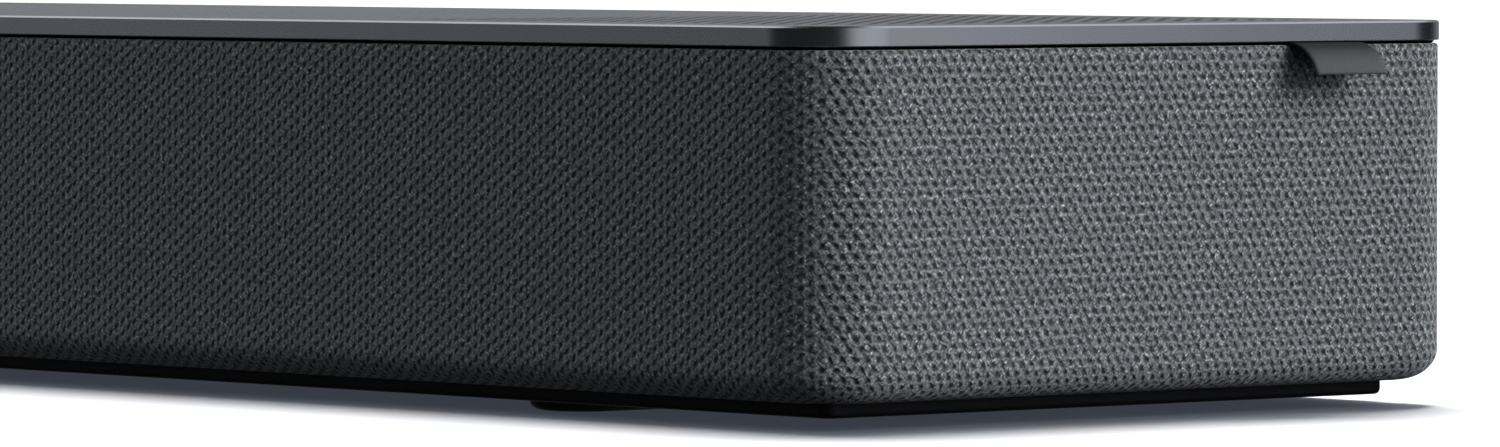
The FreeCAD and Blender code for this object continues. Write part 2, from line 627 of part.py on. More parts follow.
def makeDriver(name, kind, x, y, z, turn):
    length, width = kind + "Length", kind + "Width"
    depth, magnet = kind + "Depth", kind + "Magnet"
    basket = newBody(name + "_frame", x, y, z, turn)
    flange = newSketch(basket, "Flange")
    addStadium(flange, length, width)
    pad(basket, flange, "driverFlange")
    cup = newSketch(basket, "Cup")
    addStadium(cup, "(%s - 2 * basketStep)" % length, "(%s - 2 * basketStep)" % width)
    pad(basket, cup, depth, down=True)
    innerLength = "(%s - 2 * basketStep - 2 * basketWall)" % length
    innerWidth = "(%s - 2 * basketStep - 2 * basketWall)" % width
    hollow = newSketch(basket, "Hollow", lift="driverFlange")
    addStadium(hollow, innerLength, innerWidth)
    pocket(basket, hollow, "driverFlange + %s - basketFloor" % depth)
    pot = newSketch(basket, "Pot", lift="-" + depth)
    addCircle(pot, "magnetRadius")
    pad(basket, pot, magnet, down=True)
    gap = newSketch(basket, "Gap", lift="basketFloor - " + depth)
    addCircle(gap, "coilRadius + coilGap")
    addCircle(gap, "coilRadius - coilGap")
    pocket(basket, gap, "%s - basketFloor" % magnet)
    holes = newSketch(basket, "ScrewHoles", lift="driverFlange")
    for dx, dy in driverScrewSpots(kind):
        addCircle(holes, "flangeHole", dx, dy)
    pocket(basket, holes, "driverFlange")
    vents = newSketch(basket, "Vents", lift="-" + width, role="XZ_Plane")
    for side in (-1, 1):
        ventLength = "(%s - %s) / 2" % (length, width)
        addRectangle(vents, ventLength, depth + " - 2 * basketStep", "%s * %s / 1.5" % (side, ventLength),
                     "-%s / 2" % depth)
    pocket(basket, vents, "2 * " + width, up=True)

    cone = newBody(name + "_cone", x, y, z, turn)
    rimZ = "(driverFlange - coneRimDrop)"
    rimLength = "(%s - 2 * coneClearance)" % innerLength
    rimWidth = "(%s - 2 * coneClearance)" % innerWidth
    throat = "(2 * coilRadius + 6)"
    throatZ = "(%s - %s)" % (rimZ, kind + "Cone")
    rim = newSketch(cone, "Rim", lift=rimZ)
    addStadium(rim, rimLength, rimWidth)
    neck = newSketch(cone, "Neck", lift=throatZ)
    addStadium(neck, throat + " + 2", throat)
    loft(cone, "AdditiveLoft", rim, neck)
    innerRim = newSketch(cone, "InnerRim", lift=rimZ)
    addStadium(innerRim, rimLength + " - 2 * coneWall", rimWidth + " - 2 * coneWall")
    innerNeck = newSketch(cone, "InnerNeck", lift=throatZ + " + coneWall")
    addStadium(innerNeck, throat + " + 2 - 2 * coneWall", throat + " - 2 * coneWall")
    loft(cone, "SubtractiveLoft", innerRim, innerNeck)
    dome = newSketch(cone, "DustCap", lift=throatZ + " + coneWall")
    addCircle(dome, "coilRadius")
    pad(cone, dome, "capHeight")
    capTop = value(throatZ + " + coneWall + capHeight")
    softened(cone, "Fillet", "capHeight - 0.5", level(capTop))
    coil = newSketch(cone, "Coil", lift=throatZ)
    addCircle(coil, "coilRadius + coilWall / 2")
    addCircle(coil, "coilRadius - coilWall / 2")
    pad(cone, coil, kind + "Coil", down=True)

    ring = newBody(name + "_surround", x, y, z, turn)
    roll = newSketch(ring, "Roll", lift="driverFlange")
    addStadium(roll, innerLength + " + 2 * surroundLap", innerWidth + " + 2 * surroundLap")
    addStadium(roll, innerLength + " - 2 * surroundInner", innerWidth + " - 2 * surroundInner")
    pad(ring, roll, "rollHeight")
    softened(ring, "Fillet", "rollRadius", level(value("driverFlange + rollHeight")))
    return basket, cone, ring


def makeTweeter(name, x, y, z, turn):
    shell = newBody(name + "_body", x, y, z, turn)
    flange = newSketch(shell, "Flange")
    addCircle(flange, "tweeterRadius")
    pad(shell, flange, "driverFlange")
    pot = newSketch(shell, "Pot")
    addCircle(pot, "tweeterPot")
    pad(shell, pot, "tweeterPotDepth", down=True)
    cavity = newSketch(shell, "Cavity", lift="driverFlange")
    addCircle(cavity, "tweeterCavity")
    pocket(shell, cavity, "driverFlange + tweeterCavityDepth")
    outer = doc.addObject("Part::Sphere", name + "Outer")
    bind(outer, Radius="domeRadius", Angle1="domeAngle")
    inner = doc.addObject("Part::Sphere", name + "Inner")
    bind(inner, Radius="domeRadius - domeWall")
    dome = lessened(name + "_dome", outer, [inner])
    tip = turn.multVec(Vector(0, 0, 1))
    place(dome, x, "%s - %r * domeLift" % (y, tip.y), "%s - %r * domeLift" % (z, tip.z), turn)
    return shell, dome


def makeCradle(name, x):
    # a tilted shelf under the perforated field, hung from the deck on four posts
    shelf = newBody(name + "Shelf", x, "0", "upfireZ", facingUp)
    plate = newSketch(shelf, "Plate")
    addRectangle(plate, "cradleLength", "cradleWidth")
    pad(shelf, plate, "cradlePlate", down=True)
    holes = newSketch(shelf, "Holes")
    basketHole(holes, "upfire", "0")
    for dx, dy in driverScrewSpots("upfire"):
        addCircle(holes, "boardHoleRadius", dx, dy)
    pocket(shelf, holes, "cradlePlate")
    posts = []
    for sx in (-1, 1):
        for sy in (-1, 1):
            rise = value("%s * cradlePostY" % sy) * math.tan(math.radians(value("upfireTilt")))
            foot = "(upfireZ + %r)" % (rise - value("cradlePlate") / 2)
            post = "%sPost%d%d" % (name, sx + 1, sy + 1)
            posts.append(rod(post, "cradlePost", "%s - %s" % (deckBottom, foot),
                             "%s + %s * cradlePostX" % (x, sx), "%s * cradlePostY" % sy, foot))
    return joined(name, [shelf] + posts)


# ---- circuit boards, sockets and keys

socketPlaces = {
    "hdmi_input": ("-72", "(mainZ + boardThickness)", "16.8", "6.6"),
    "hdmi_output": ("-46", "(mainZ + boardThickness)", "16.8", "6.6"),
    "optical_socket": ("-22", "(mainZ + boardThickness)", "9.8", "10"),
    "usb_socket": ("2", "(mainZ + boardThickness)", "14.6", "7.2"),
    "mains_inlet": ("inletX", "(recessZ - 10)", "24", "20"),
}


def makeBoard(name, label, extras):
    x, y, z = name + "X", name + "Y", name + "Z"
    sheetOfBoard = block(label + "Sheet", name + "Length", name + "Width", "boardThickness", x, y, z)
    holes = []
    for i, (hx, hy) in enumerate(boardSpots()[name]):
        holes.append(rod("%sHole%d" % (label, i), "boardHoleRadius + looseFit", "3 * boardThickness",
                         hx, hy, z + " - boardThickness"))
    drilled = lessened(label + "Drilled", sheetOfBoard, holes)
    top = z + " + boardThickness"
    chips = []
    for i, (dx, dy, length, width, height) in enumerate(extras):
        chips.append(block("%sChip%d" % (label, i), length, width, height,
                           "%s + %s" % (x, dx), "%s + %s" % (y, dy), top))
    return joined(label, [drilled] + chips)


def makeSocket(name, hollowLength, hollowHeight, tongue):
    x, z, wide, tall = socketPlaces[name]
    back = recessFace + " - 0.3"
    shell = block(name + "Shell", wide, "socketDepth", tall, x, "%s - socketDepth / 2" % back, z)
    inset = "(%s - %s) / 2" % (tall, hollowHeight)
    hollowFloor = "%s + %s" % (z, inset)
    hollow = block(name + "Hollow", hollowLength, "2 * socketHollow", hollowHeight, x, back, hollowFloor)
    opened = lessened(name + "Opened", shell, [hollow])
    tongueBlock = block(name + "Tongue", tongue, "socketHollow - 1", "1.4", x,
                        "%s - socketHollow / 2 - 0.5" % back, "%s + %s / 2 - 0.7" % (z, tall))
    return joined(name, [opened, tongueBlock])


def makeInlet():
    # a two-pin inlet: a shroud with two round pins
    x, z, wide, tall = socketPlaces["mains_inlet"]
    back = recessFace + " - 0.3"
    shell = block("InletShell", wide, "inletDepth", tall, x, "%s - inletDepth / 2" % back, z)
    shroud = []
    for side in (-1, 1):
        middle = "%s + %s * inletPinPitch / 2" % (x, side)
        shroud.append(rod("InletBarrel%d" % side, "inletBarrel", "inletHollow + 1", middle,
                          "%s + 1" % back, "recessZ", facingFront))
    opened = lessened("InletOpened", shell, shroud)
    pins = [rod("InletPin%d" % side, "inletPin", "inletHollow - 1", "%s + %s * inletPinPitch / 2" % (x, side),
                "%s - 2" % back, "recessZ", facingFront) for side in (-1, 1)]
    return joined("mains_inlet", [opened] + pins)


def makeHeatSink():
    floor = "(ampZ + boardThickness + sinkLift)"
    pieces = [block("SinkBase", "sinkLength", "sinkWidth", "sinkBase", "ampX", "sinkY", floor)]
    for step in range(-4, 5):
        pieces.append(block("SinkFin%d" % (step + 4), "sinkFin", "sinkWidth", "sinkHeight",
                            "ampX + %d * sinkPitch" % step, "sinkY", floor))
    return joined("heat_sink", pieces)


def makeDisplayBoard():
    face = "(%s - 0.5 - displayThickness / 2)" % baffleFace
    carrier = block("DisplayCarrier", "displayLength", "displayThickness", "displayHeight",
                    "displayX", face, "driverAxisZ - displayHeight / 2")
    lamps = block("DisplayLamps", "ledLength", "ledThickness", "ledHeight", "displayX",
                  "%s - displayThickness / 2 - ledThickness / 2" % face, "driverAxisZ - ledHeight / 2")
    return joined("display_board", [carrier, lamps])


def makePowerPieces():
    floor = "(powerZ + boardThickness)"
    core = block("TransformerCore", "coreLength", "coreWidth", "coreHeight", "coreX", "coreY", floor)
    coil = block("TransformerCoil", "coreLength * 0.6", "coreWidth * 1.25", "coreHeight * 0.7",
                 "coreX", "coreY", floor + " + coreHeight * 0.15")
    cans = [rod("Can%d" % side, "canRadius", "canHeight", "canX", "canY + %d * canPitch / 2" % side, floor)
            for side in (-1, 1)]
    return joined("power_transformer", [core, coil]), grouped("reservoir_capacitors", cans)


def makeKeys():
    # power, input, volume down and volume up, each a cap whose skirt is held under the cover
    made = []
    skirtTop = "(%s - keySkirtDrop)" % sheetUnderside
    skirtFloor = "(%s - keySkirtHeight)" % skirtTop
    for step, name in zip((-1.5, -0.5, 0.5, 1.5), ("power", "input", "volume_down", "volume_up")):
        x = "%s * keyPitch" % step
        cap = rod(name + "Cap", "keyRadius", "barHeight - %s" % skirtTop, x, "keyRow", skirtTop)
        skirt = rod(name + "Skirt", "keySkirt", "keySkirtHeight", x, "keyRow", skirtFloor)
        stem = rod(name + "Stem", "keyStem", "keyStemLength", x, "keyRow", skirtFloor + " - keyStemLength")
        made.append(joined("key_" + name, [cap, skirt, stem]))
    return made


def makeControlBoard():
    plate = block("ControlSheet", "controlLength", "controlWidth", "controlThickness",
                  "0", "keyRow", "controlZ")
    pieces = [plate]
    for step in (-1.5, -0.5, 0.5, 1.5):
        pieces.append(block("Switch%d" % int(step * 2 + 3), "switchSize", "switchSize", "switchHeight",
                            "%s * keyPitch" % step, "keyRow", "controlZ + controlThickness"))
    return joined("control_board", pieces)


def makeSetupButton():
    tip = recessFace + " + buttonProud"
    stem = rod("ButtonStem", "buttonRadius", tip + " - buttonBack", "buttonX", tip, "buttonZ", facingFront)
    flange = rod("ButtonFlange", "buttonFlange", "buttonFlangeThickness", "buttonX",
                 "%s - recessFloor - buttonFlangeGap" % recessFace, "buttonZ", facingFront)
    return joined("setup_button", [stem, flange])


def makeFoot(name, x, y):
    foot = newBody(name, x, y, "0", Rotation(Vector(0, 0, 1), 90))
    layers = (("1", 0), ("0.4", 3), ("0", 10))
    sketches = []
    for i, (height, shrink) in enumerate(layers):
        made = newSketch(foot, "Layer%d" % i, lift="footHeight * %s" % height)
        addStadium(made, "(footLength - %s)" % shrink, "(footWidth - %s)" % shrink)
        sketches.append(made)
    loft(foot, "AdditiveLoft", sketches[0], sketches[1])
    middle = newSketch(foot, "Middle", lift="footHeight * 0.4")
    addStadium(middle, "(footLength - 3)", "(footWidth - 3)")
    loft(foot, "AdditiveLoft", middle, sketches[2])
    return foot


# ---- screws and leads, whose places are worked out here from the sheet

def feature(name, shape):
    made = doc.addObject("Part::Feature", name)
    made.Shape = shape
    made.Placement = Placement()
    return made


def screw(head, headHeight, shank, length, spot):
    # stands head up with its head's underside at the spot
    top = Part.makeCylinder(value(head), value(headHeight))
    stem = Part.makeCylinder(value(shank), value(length), Vector(0, 0, -value(length)))
    made = top.fuse(stem).removeSplitter()
    made.Placement = spot
    return made


def flatSpots(spots, height):
    return [Placement(Vector(value(x), value(y), value(height)), Rotation()) for x, y in spots]


def driverSpots():
    made = []
    drivers = [("woofer", Vector(value(x), value(baffleFace), value("driverAxisZ")), facingFront)
               for x in wooferPlaces.values()]
    drivers += [("upfire", Vector(side * value(fieldX), 0, value("upfireZ")), facingUp) for side in (-1, 1)]
    for kind, centre, turn in drivers:
        whole = Placement(centre, turn)
        for dx, dy in driverScrewSpots(kind):
            local = Vector(value(dx), value(dy), value("driverFlange"))
            made.append(whole.multiply(Placement(local, Rotation())))
    return made


def makeScrews():
    deck = [screw("deckHead", "deckHeadHeight", "deckShank", "deckScrewLength", spot)
            for spot in flatSpots(deckScrewSpots(), deckTop)]
    boards = []
    for name, spots in boardSpots().items():
        for spot in flatSpots(spots, name + "Z + boardThickness"):
            boards.append(screw("boardHead", "smallHeadHeight", "smallShank", "boardScrewLength", spot))
    drivers = [screw("smallHead", "smallHeadHeight", "smallShank", "driverScrewLength", spot)
               for spot in driverSpots()]
    feature("deck_screws", Part.Compound(deck))
    feature("board_screws", Part.Compound(boards))
    feature("driver_screws", Part.Compound(drivers))


def makeInserts():
    made = []
    for i, (x, y) in enumerate(insertSpots()):
        sleeve = rod("Sleeve%d" % i, "insertRadius", "insertLength", x, y, "footHeight")
        bore = rod("SleeveBore%d" % i, "insertBore", "insertLength", x, y, "footHeight")
        made.append(lessened("Insert%d" % i, sleeve, [bore]))
    return grouped("wall_inserts", made)


def bentPath(points, radius):
    # straight runs joined by tangent arcs
    edges = []
    start = points[0]
    for before, corner, after in zip(points, points[1:], points[2:]):
        arrive = (corner - before).normalize()
        leave = (after - corner).normalize()
        turn = arrive.getAngle(leave)
        cut = radius * math.tan(turn / 2)
        first, last = corner - arrive * cut, corner + leave * cut
        inward = (leave - arrive).normalize()
        middle = corner + inward * (radius / math.cos(turn / 2) - radius)
        edges.append(Part.LineSegment(start, first).toShape())
        edges.append(Part.Arc(first, middle, last).toShape())
        start = last
    edges.append(Part.LineSegment(start, points[-1]).toShape())
    return Part.Wire(edges)


def makeLeads():
    routes = []
    left, right = value("ampX") - 10, value("ampX") - 4
    backOfWoofer = value(baffleFace) + value("wooferDepth + wooferMagnet") + 0.1
    backOfTweeter = value(baffleFace) + value("tweeterPotDepth") + 0.1
    axis = value("driverAxisZ")
    ends = [(left, 0, -value("wooferX"), backOfWoofer), (left - 4, 1, -value("tweeterX"), backOfTweeter),
            (left - 8, 2, -value(fieldX), None), (right + 8, 0, 8, backOfWoofer),
            (right + 4, 1, value("wooferX"), backOfWoofer), (right, 2, value("tweeterX"), backOfTweeter),
            (right - 4, 3, value(fieldX), None)]
    floor, high = value("leadFloorZ"), value("leadStartZ")
    for startX, lane, endX, back in ends:
        y = value("leadLane") - lane * value("leadLanePitch")
        route = [Vector(startX, value("leadStartY"), high), Vector(startX, y, high),
                 Vector(startX, y, floor), Vector(endX, y, floor)]
        if back is None:
            route += [Vector(endX, 5, floor), Vector(endX, 5, value("upfireZ") - 25)]
        else:
            route += [Vector(endX, y, axis), Vector(endX, back, axis)]
        routes.append(route)
    tubes = []
    for route in routes:
        path = bentPath(route, value("leadBend"))
        section = Part.Wire(Part.Circle(route[0], route[1] - route[0], value("leadRadius")).toShape())
        tubes.append(path.makePipeShell([section], True, False))
    feature("speaker_leads", Part.Compound(tubes))


def makeRibbon():
    board = Vector(0, value("keyRow + controlWidth / 2"), value("controlZ + controlThickness / 2"))
    lane = value("leadSlotPlace")
    low = value("mainZ + boardThickness / 2")
    mainEdge = value("mainY - mainWidth / 2")
    points = [board, Vector(0, lane, board.z), Vector(0, lane, low), Vector(0, mainEdge, low)]
    path = bentPath(points, value("ribbonBend"))
    half, thin = value("ribbonWidth / 2"), value("ribbonThickness / 2")
    turns = ((-1, -1), (1, -1), (1, 1), (-1, 1), (-1, -1))
    corners = [board + Vector(sx * half, 0, sz * thin) for sx, sz in turns]
    feature("key_ribbon", path.makePipeShell([Part.makePolygon(corners)], True, False))


# ---- the whole bar

def makeBar():
    outerInset = "fabricSetback"
    makeTopCover()
    makeWrap("fabric_wrap", outerInset, "fabricThickness", "fabricFloor", fabricTop, "fabricBottomRadius")
    makeGrilleFrame()
    makeLabelTab()
    makeLowerCase()
    makeFrontBaffle()
    makeTopDeck()
    makeRearPanels()
    for side, x in (("left", "-" + fieldX), ("right", fieldX)):
        block("dust_screen_" + side, "fieldLength + 2 * screenBorder", "fieldDepth + 2 * screenBorder",
              "screenThickness", x, "0", "%s - screenThickness - fitGap" % sheetUnderside)
        makeCradle("upfire_cradle_" + side, x)
        makeDriver("upfire_" + side, "upfire", x, "0", "upfireZ", facingUp)
    for side, x in wooferPlaces.items():
        makeDriver("woofer_" + side, "woofer", x, baffleFace, "driverAxisZ", facingFront)
    for side, x in tweeterPlaces.items():
        makeTweeter("tweeter_" + side, x, baffleFace, "driverAxisZ", facingFront)
    makeElectronics()
    for side, x in (("left", "-footX"), ("right", "footX")):
        makeFoot("foot_front_" + side, x, "footFrontY")
        makeFoot("foot_rear_" + side, x, "footRearY")
    makeInserts()
    makeScrews()
    makeLeads()
    makeRibbon()


def makeElectronics():
    # each chip as its place from the middle of the board, then length, width and height
    chips = [("-30", "-5", "16", "16", "1.6"), ("10", "-12", "12", "12", "1.2"),
             ("45", "-8", "22", "14", "2.4"), ("-55", "-15", "10", "18", "2")]
    board = makeBoard("main", "MainPlain", chips)
    riserZ = "(mainZ + boardThickness)"
    riser = block("Riser", "riserWidth", "boardThickness", "riserHeight", "buttonX", "riserY", riserZ)
    switchY = "(riserY + boardThickness / 2 + riserSwitch / 2)"
    switch = block("RiserSwitch", "switchSize", "riserSwitch", "switchSize", "buttonX", switchY,
                   "buttonZ - switchSize / 2")
    joined("main_board", [board, riser, switch])
    makeBoard("amp", "amp_board", [("0", "-18", "44", "8", "8"), ("0", "4", "50", "20", "3")])
    makeBoard("power", "power_board", [("-38", "18", "12", "10", "8"), ("-10", "-26", "14", "8", "6")])
    makeHeatSink()
    makeDisplayBoard()
    makePowerPieces()
    makeControlBoard()
    makeKeys()
    makeSetupButton()
    makeSocket("hdmi_input", "14.2", "4.8", "11")
    makeSocket("hdmi_output", "14.2", "4.8", "11")
    makeSocket("usb_socket", "12.4", "5", "10.6")
    makeSocket("optical_socket", "7.6", "7.6", "2")
    makeInlet()


pieceNames = [
    "top_cover", "fabric_wrap", "grille_frame", "label_tab", "lower_case", "front_baffle", "top_deck",
    "rear_panel_left", "connector_panel", "rear_panel_right", "connector_pan", "inlet_pan",
    "foot_front_left", "foot_front_right", "foot_rear_left", "foot_rear_right",
    "dust_screen_left", "dust_screen_right", "upfire_cradle_left", "upfire_cradle_right",
    "upfire_left_frame", "upfire_left_cone", "upfire_left_surround",
    "upfire_right_frame", "upfire_right_cone", "upfire_right_surround",
    "woofer_left_frame", "woofer_left_cone", "woofer_left_surround",
    "woofer_center_frame", "woofer_center_cone", "woofer_center_surround",
    "woofer_right_frame", "woofer_right_cone", "woofer_right_surround",
    "tweeter_left_body", "tweeter_left_dome", "tweeter_right_body", "tweeter_right_dome",
    "control_board", "key_power", "key_input", "key_volume_down", "key_volume_up", "key_ribbon",
    "display_board", "main_board", "amp_board", "power_board", "heat_sink", "power_transformer",
    "reservoir_capacitors", "hdmi_input", "hdmi_output", "optical_socket", "usb_socket", "mains_inlet",
    "setup_button", "speaker_leads", "wall_inserts", "deck_screws", "board_screws", "driver_screws",
]


def exportPieces():
    doc.recompute()
    for thing in doc.Objects:
        if "Invalid" in thing.State or "Error" in thing.State:
            raise RuntimeError("%s did not compute: %s" % (thing.Name, thing.State))
    os.makedirs("parts", exist_ok=True)
    byLabel = {thing.Label: thing for thing in doc.Objects}
    for name in pieceNames:
        shape = byLabel[name].Shape
        if shape.isNull() or not shape.isValid() or not shape.Solids:
            raise RuntimeError(name + " has no sound solid")
        shape.exportStep("parts/%s.step" % name)
        print("%-24s solids %2d  volume %10.1f mm3" % (name, len(shape.Solids), shape.Volume))


makeBar()
exportPieces()
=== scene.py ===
import json
import math

import bmesh
import bpy
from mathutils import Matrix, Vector


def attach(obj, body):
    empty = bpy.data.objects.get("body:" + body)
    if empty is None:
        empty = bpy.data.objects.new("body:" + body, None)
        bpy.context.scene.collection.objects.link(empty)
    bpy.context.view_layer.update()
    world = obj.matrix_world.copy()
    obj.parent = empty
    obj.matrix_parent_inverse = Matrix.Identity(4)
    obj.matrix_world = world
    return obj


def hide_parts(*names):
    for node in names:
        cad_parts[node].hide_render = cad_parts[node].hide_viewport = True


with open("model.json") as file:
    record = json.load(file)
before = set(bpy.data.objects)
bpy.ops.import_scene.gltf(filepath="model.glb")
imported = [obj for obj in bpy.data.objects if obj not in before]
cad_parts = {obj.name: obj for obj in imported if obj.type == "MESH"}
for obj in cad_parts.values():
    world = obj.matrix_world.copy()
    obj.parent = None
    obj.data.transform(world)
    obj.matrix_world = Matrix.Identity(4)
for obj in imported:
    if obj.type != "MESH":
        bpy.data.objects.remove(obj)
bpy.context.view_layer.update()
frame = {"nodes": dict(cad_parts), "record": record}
scene = bpy.context.scene
nodes = frame["nodes"]
mm = 0.001
print("frame loaded:", len(nodes), "parts")


# camera, floor and lights

cameraSetup = {
    "place": (1.6408, -1.0667, 0.08307),   # low, off the right-hand front corner
    "heading": (-0.7590, 0.6512),          # where it looks, in plan
    "tiltDown": 1.864,                     # degrees
    "lens": 229.25,                        # mm
    "sensor": 36.0,                        # mm, its width
    "clip": (0.01, 60.0),                  # nearest and farthest it sees
}


def placeCamera(setup):
    data = bpy.data.cameras.new("endCamera")
    data.lens = setup["lens"]
    data.sensor_width = setup["sensor"]
    data.sensor_fit = "HORIZONTAL"
    data.clip_start, data.clip_end = setup["clip"]
    camera = bpy.data.objects.new("endCamera", data)
    scene.collection.objects.link(camera)
    tilt = math.radians(setup["tiltDown"])
    x, y = setup["heading"]
    aim = Vector((x * math.cos(tilt), y * math.cos(tilt), -math.sin(tilt)))
    camera.location = setup["place"]
    camera.rotation_euler = aim.to_track_quat("-Z", "Y").to_euler()
    scene.camera = camera


placeCamera(cameraSetup)
scene.view_settings.view_transform = "Standard"
scene.view_settings.look = "None"


def addNode(tree, kind, **settings):
    made = tree.nodes.new(kind)
    for key, setting in settings.items():
        setattr(made, key, setting)
    return made


def plug(tree, source, target):
    # source may be an output socket or a plain number or vector
    if isinstance(source, bpy.types.NodeSocket):
        tree.links.new(source, target)
    else:
        target.default_value = source


def maths(tree, operation, a, b=None):
    made = addNode(tree, "ShaderNodeMath", operation=operation)
    for source, target in zip((a, b), made.inputs):
        if source is not None:
            plug(tree, source, target)
    return made.outputs[0]


def vectorMaths(tree, operation, a, b=None, scale=None):
    made = addNode(tree, "ShaderNodeVectorMath", operation=operation)
    plug(tree, a, made.inputs[0])
    if b is not None:
        plug(tree, b, made.inputs[1])
    if scale is not None:
        plug(tree, scale, made.inputs["Scale"])
    return made.outputs["Value"] if operation in ("LENGTH", "DOT_PRODUCT") else made.outputs["Vector"]


def axes(tree, vector):
    parts = addNode(tree, "ShaderNodeSeparateXYZ")
    plug(tree, vector, parts.inputs[0])
    return parts.outputs


def ramp(tree, value, low, high, toLow=0.0, toHigh=1.0, smooth=True):
    made = addNode(tree, "ShaderNodeMapRange", interpolation_type="SMOOTHSTEP" if smooth else "LINEAR")
    ends = {"Value": value, "From Min": low, "From Max": high, "To Min": toLow, "To Max": toHigh}
    for name, source in ends.items():
        plug(tree, source, made.inputs[name])
    return made.outputs["Result"]


def blendNumbers(tree, amount, first, second):
    made = addNode(tree, "ShaderNodeMix", data_type="FLOAT")
    for source, target in ((amount, made.inputs[0]), (first, made.inputs[2]), (second, made.inputs[3])):
        plug(tree, source, target)
    return made.outputs[0]


def mixedTone(tree, first, second, firstShare, secondShare):
    first, second = maths(tree, "MULTIPLY", first, firstShare), maths(tree, "MULTIPLY", second, secondShare)
    return maths(tree, "ADD", first, second)


def blendColours(tree, amount, first, second, mode="MIX"):
    made = addNode(tree, "ShaderNodeMix", data_type="RGBA", blend_type=mode)
    plug(tree, amount, made.inputs["Factor"])
    for source, target in ((first, made.inputs[6]), (second, made.inputs[7])):
        plug(tree, (*source, 1.0) if isinstance(source, tuple) else source, target)
    return made.outputs[2]


roomLight = {
    "ambient": 0.02,
    "tint": (0.95, 0.98, 1.05),
    "backdrop": 1.15,                 # the white behind the bar
    # soft patches of light, each as (azimuth, elevation, full within, gone beyond, strength), in degrees
    "patches": [
        (-160, 4, 20, 31, 0.20),      # along the front face of the cover
        (14, 8, 20, 43, 0.68),        # the right-hand softbox
        (136, 4, 22, 52, 0.26),       # low behind, seen in the top of the cover
        (182, 40, 10, 30, 1.0),       # high on the left, for the front chamfer
        (87, 49, 10, 30, 1.0),        # high behind, for the end chamfer
    ],
    # a soft strip over the front half: it rises between the first two elevations and falls between the next
    # two, and the last number is its strength
    "band": (14, 24, 36, 50, 0.16),
    "bandFront": (0.05, -0.25),       # where it starts and is full: 1 is straight back, -1 straight ahead
}


def heading(azimuth, elevation):
    a, e = math.radians(azimuth), math.radians(elevation)
    return Vector((math.cos(a) * math.cos(e), math.sin(a) * math.cos(e), math.sin(e)))


def lightRoom(setup):
    world = bpy.data.worlds.new("studio")
    scene.world = world
    world.use_nodes = True
    tree = world.node_tree
    tree.nodes.clear()
    view = addNode(tree, "ShaderNodeTexCoord").outputs["Generated"]
    total = setup["ambient"]
    for azimuth, elevation, inner, outer, strength in setup["patches"]:
        facing = vectorMaths(tree, "DOT_PRODUCT", view, tuple(heading(azimuth, elevation)))
        glow = ramp(tree, facing, math.cos(math.radians(outer)), math.cos(math.radians(inner)), 0.0, strength)
        total = maths(tree, "ADD", total, glow)
    _, back, up = axes(tree, view)
    *elevations, strength = setup["band"]
    lowEdge, lowFull, highFull, highEdge = [math.sin(math.radians(e)) for e in elevations]
    strip = maths(tree, "MULTIPLY", ramp(tree, up, lowEdge, lowFull, 0.0, strength),
                  ramp(tree, up, highFull, highEdge, 1.0, 0.0))
    strip = maths(tree, "MULTIPLY", strip, ramp(tree, back, *setup["bandFront"]))
    total = maths(tree, "ADD", total, strip)
    soft = addNode(tree, "ShaderNodeBackground")
    soft.inputs["Color"].default_value = (*setup["tint"], 1.0)
    plug(tree, total, soft.inputs["Strength"])
    backdrop = addNode(tree, "ShaderNodeBackground")
    backdrop.inputs["Color"].default_value = (1.0, 1.0, 1.0, 1.0)
    backdrop.inputs["Strength"].default_value = setup["backdrop"]
    seen = addNode(tree, "ShaderNodeLightPath").outputs["Is Camera Ray"]
    both = addNode(tree, "ShaderNodeMixShader")
    plug(tree, seen, both.inputs[0])
    tree.links.new(soft.outputs[0], both.inputs[1])
    tree.links.new(backdrop.outputs[0], both.inputs[2])
    tree.links.new(both.outputs[0], addNode(tree, "ShaderNodeOutputWorld").inputs["Surface"])


lightRoom(roomLight)

floorSetup = {
    "radius": 1.6,                      # metres
    "rings": 12,
    "spokes": 96,
    "shade": (0.80, 0.80, 0.81),
    "rough": 0.9,
    "glow": (0.036, 0.042, 0.056),      # keeps the shadow under the bar a soft blue grey
}


def layFloor(setup):
    bm = bmesh.new()
    loops = []
    for i in range(1, setup["rings"] + 1):
        r = setup["radius"] * i / setup["rings"]
        loops.append([bm.verts.new((r * math.cos(t), r * math.sin(t), 0.0)) for t in
                      (2 * math.pi * k / setup["spokes"] for k in range(setup["spokes"]))])
    bm.faces.new(loops[0])
    for inner, outer in zip(loops, loops[1:]):
        for k in range(setup["spokes"]):
            n = (k + 1) % setup["spokes"]
            bm.faces.new((inner[k], outer[k], outer[n], inner[n]))
    mesh = bpy.data.meshes.new("studioFloor")
    bm.to_mesh(mesh)
    bm.free()
    floor = bpy.data.objects.new("studioFloor", mesh)
    scene.collection.objects.link(floor)
    finish = bpy.data.materials.new("paleFloor")
    finish.use_nodes = True
    shader = finish.node_tree.nodes["Principled BSDF"]
    shader.inputs["Base Color"].default_value = (*setup["shade"], 1.0)
    shader.inputs["Roughness"].default_value = setup["rough"]
    shader.inputs["Specular IOR Level"].default_value = 0.0
    shader.inputs["Emission Color"].default_value = (*setup["glow"], 1.0)
    shader.inputs["Emission Strength"].default_value = 1.0
    mesh.materials.append(finish)
    floor.visible_diffuse = False
    floor.visible_glossy = False
    return floor


floor = layFloor(floorSetup)

lampDistance = 3.0       # metres; only its direction matters, since the lamps shine like the sun

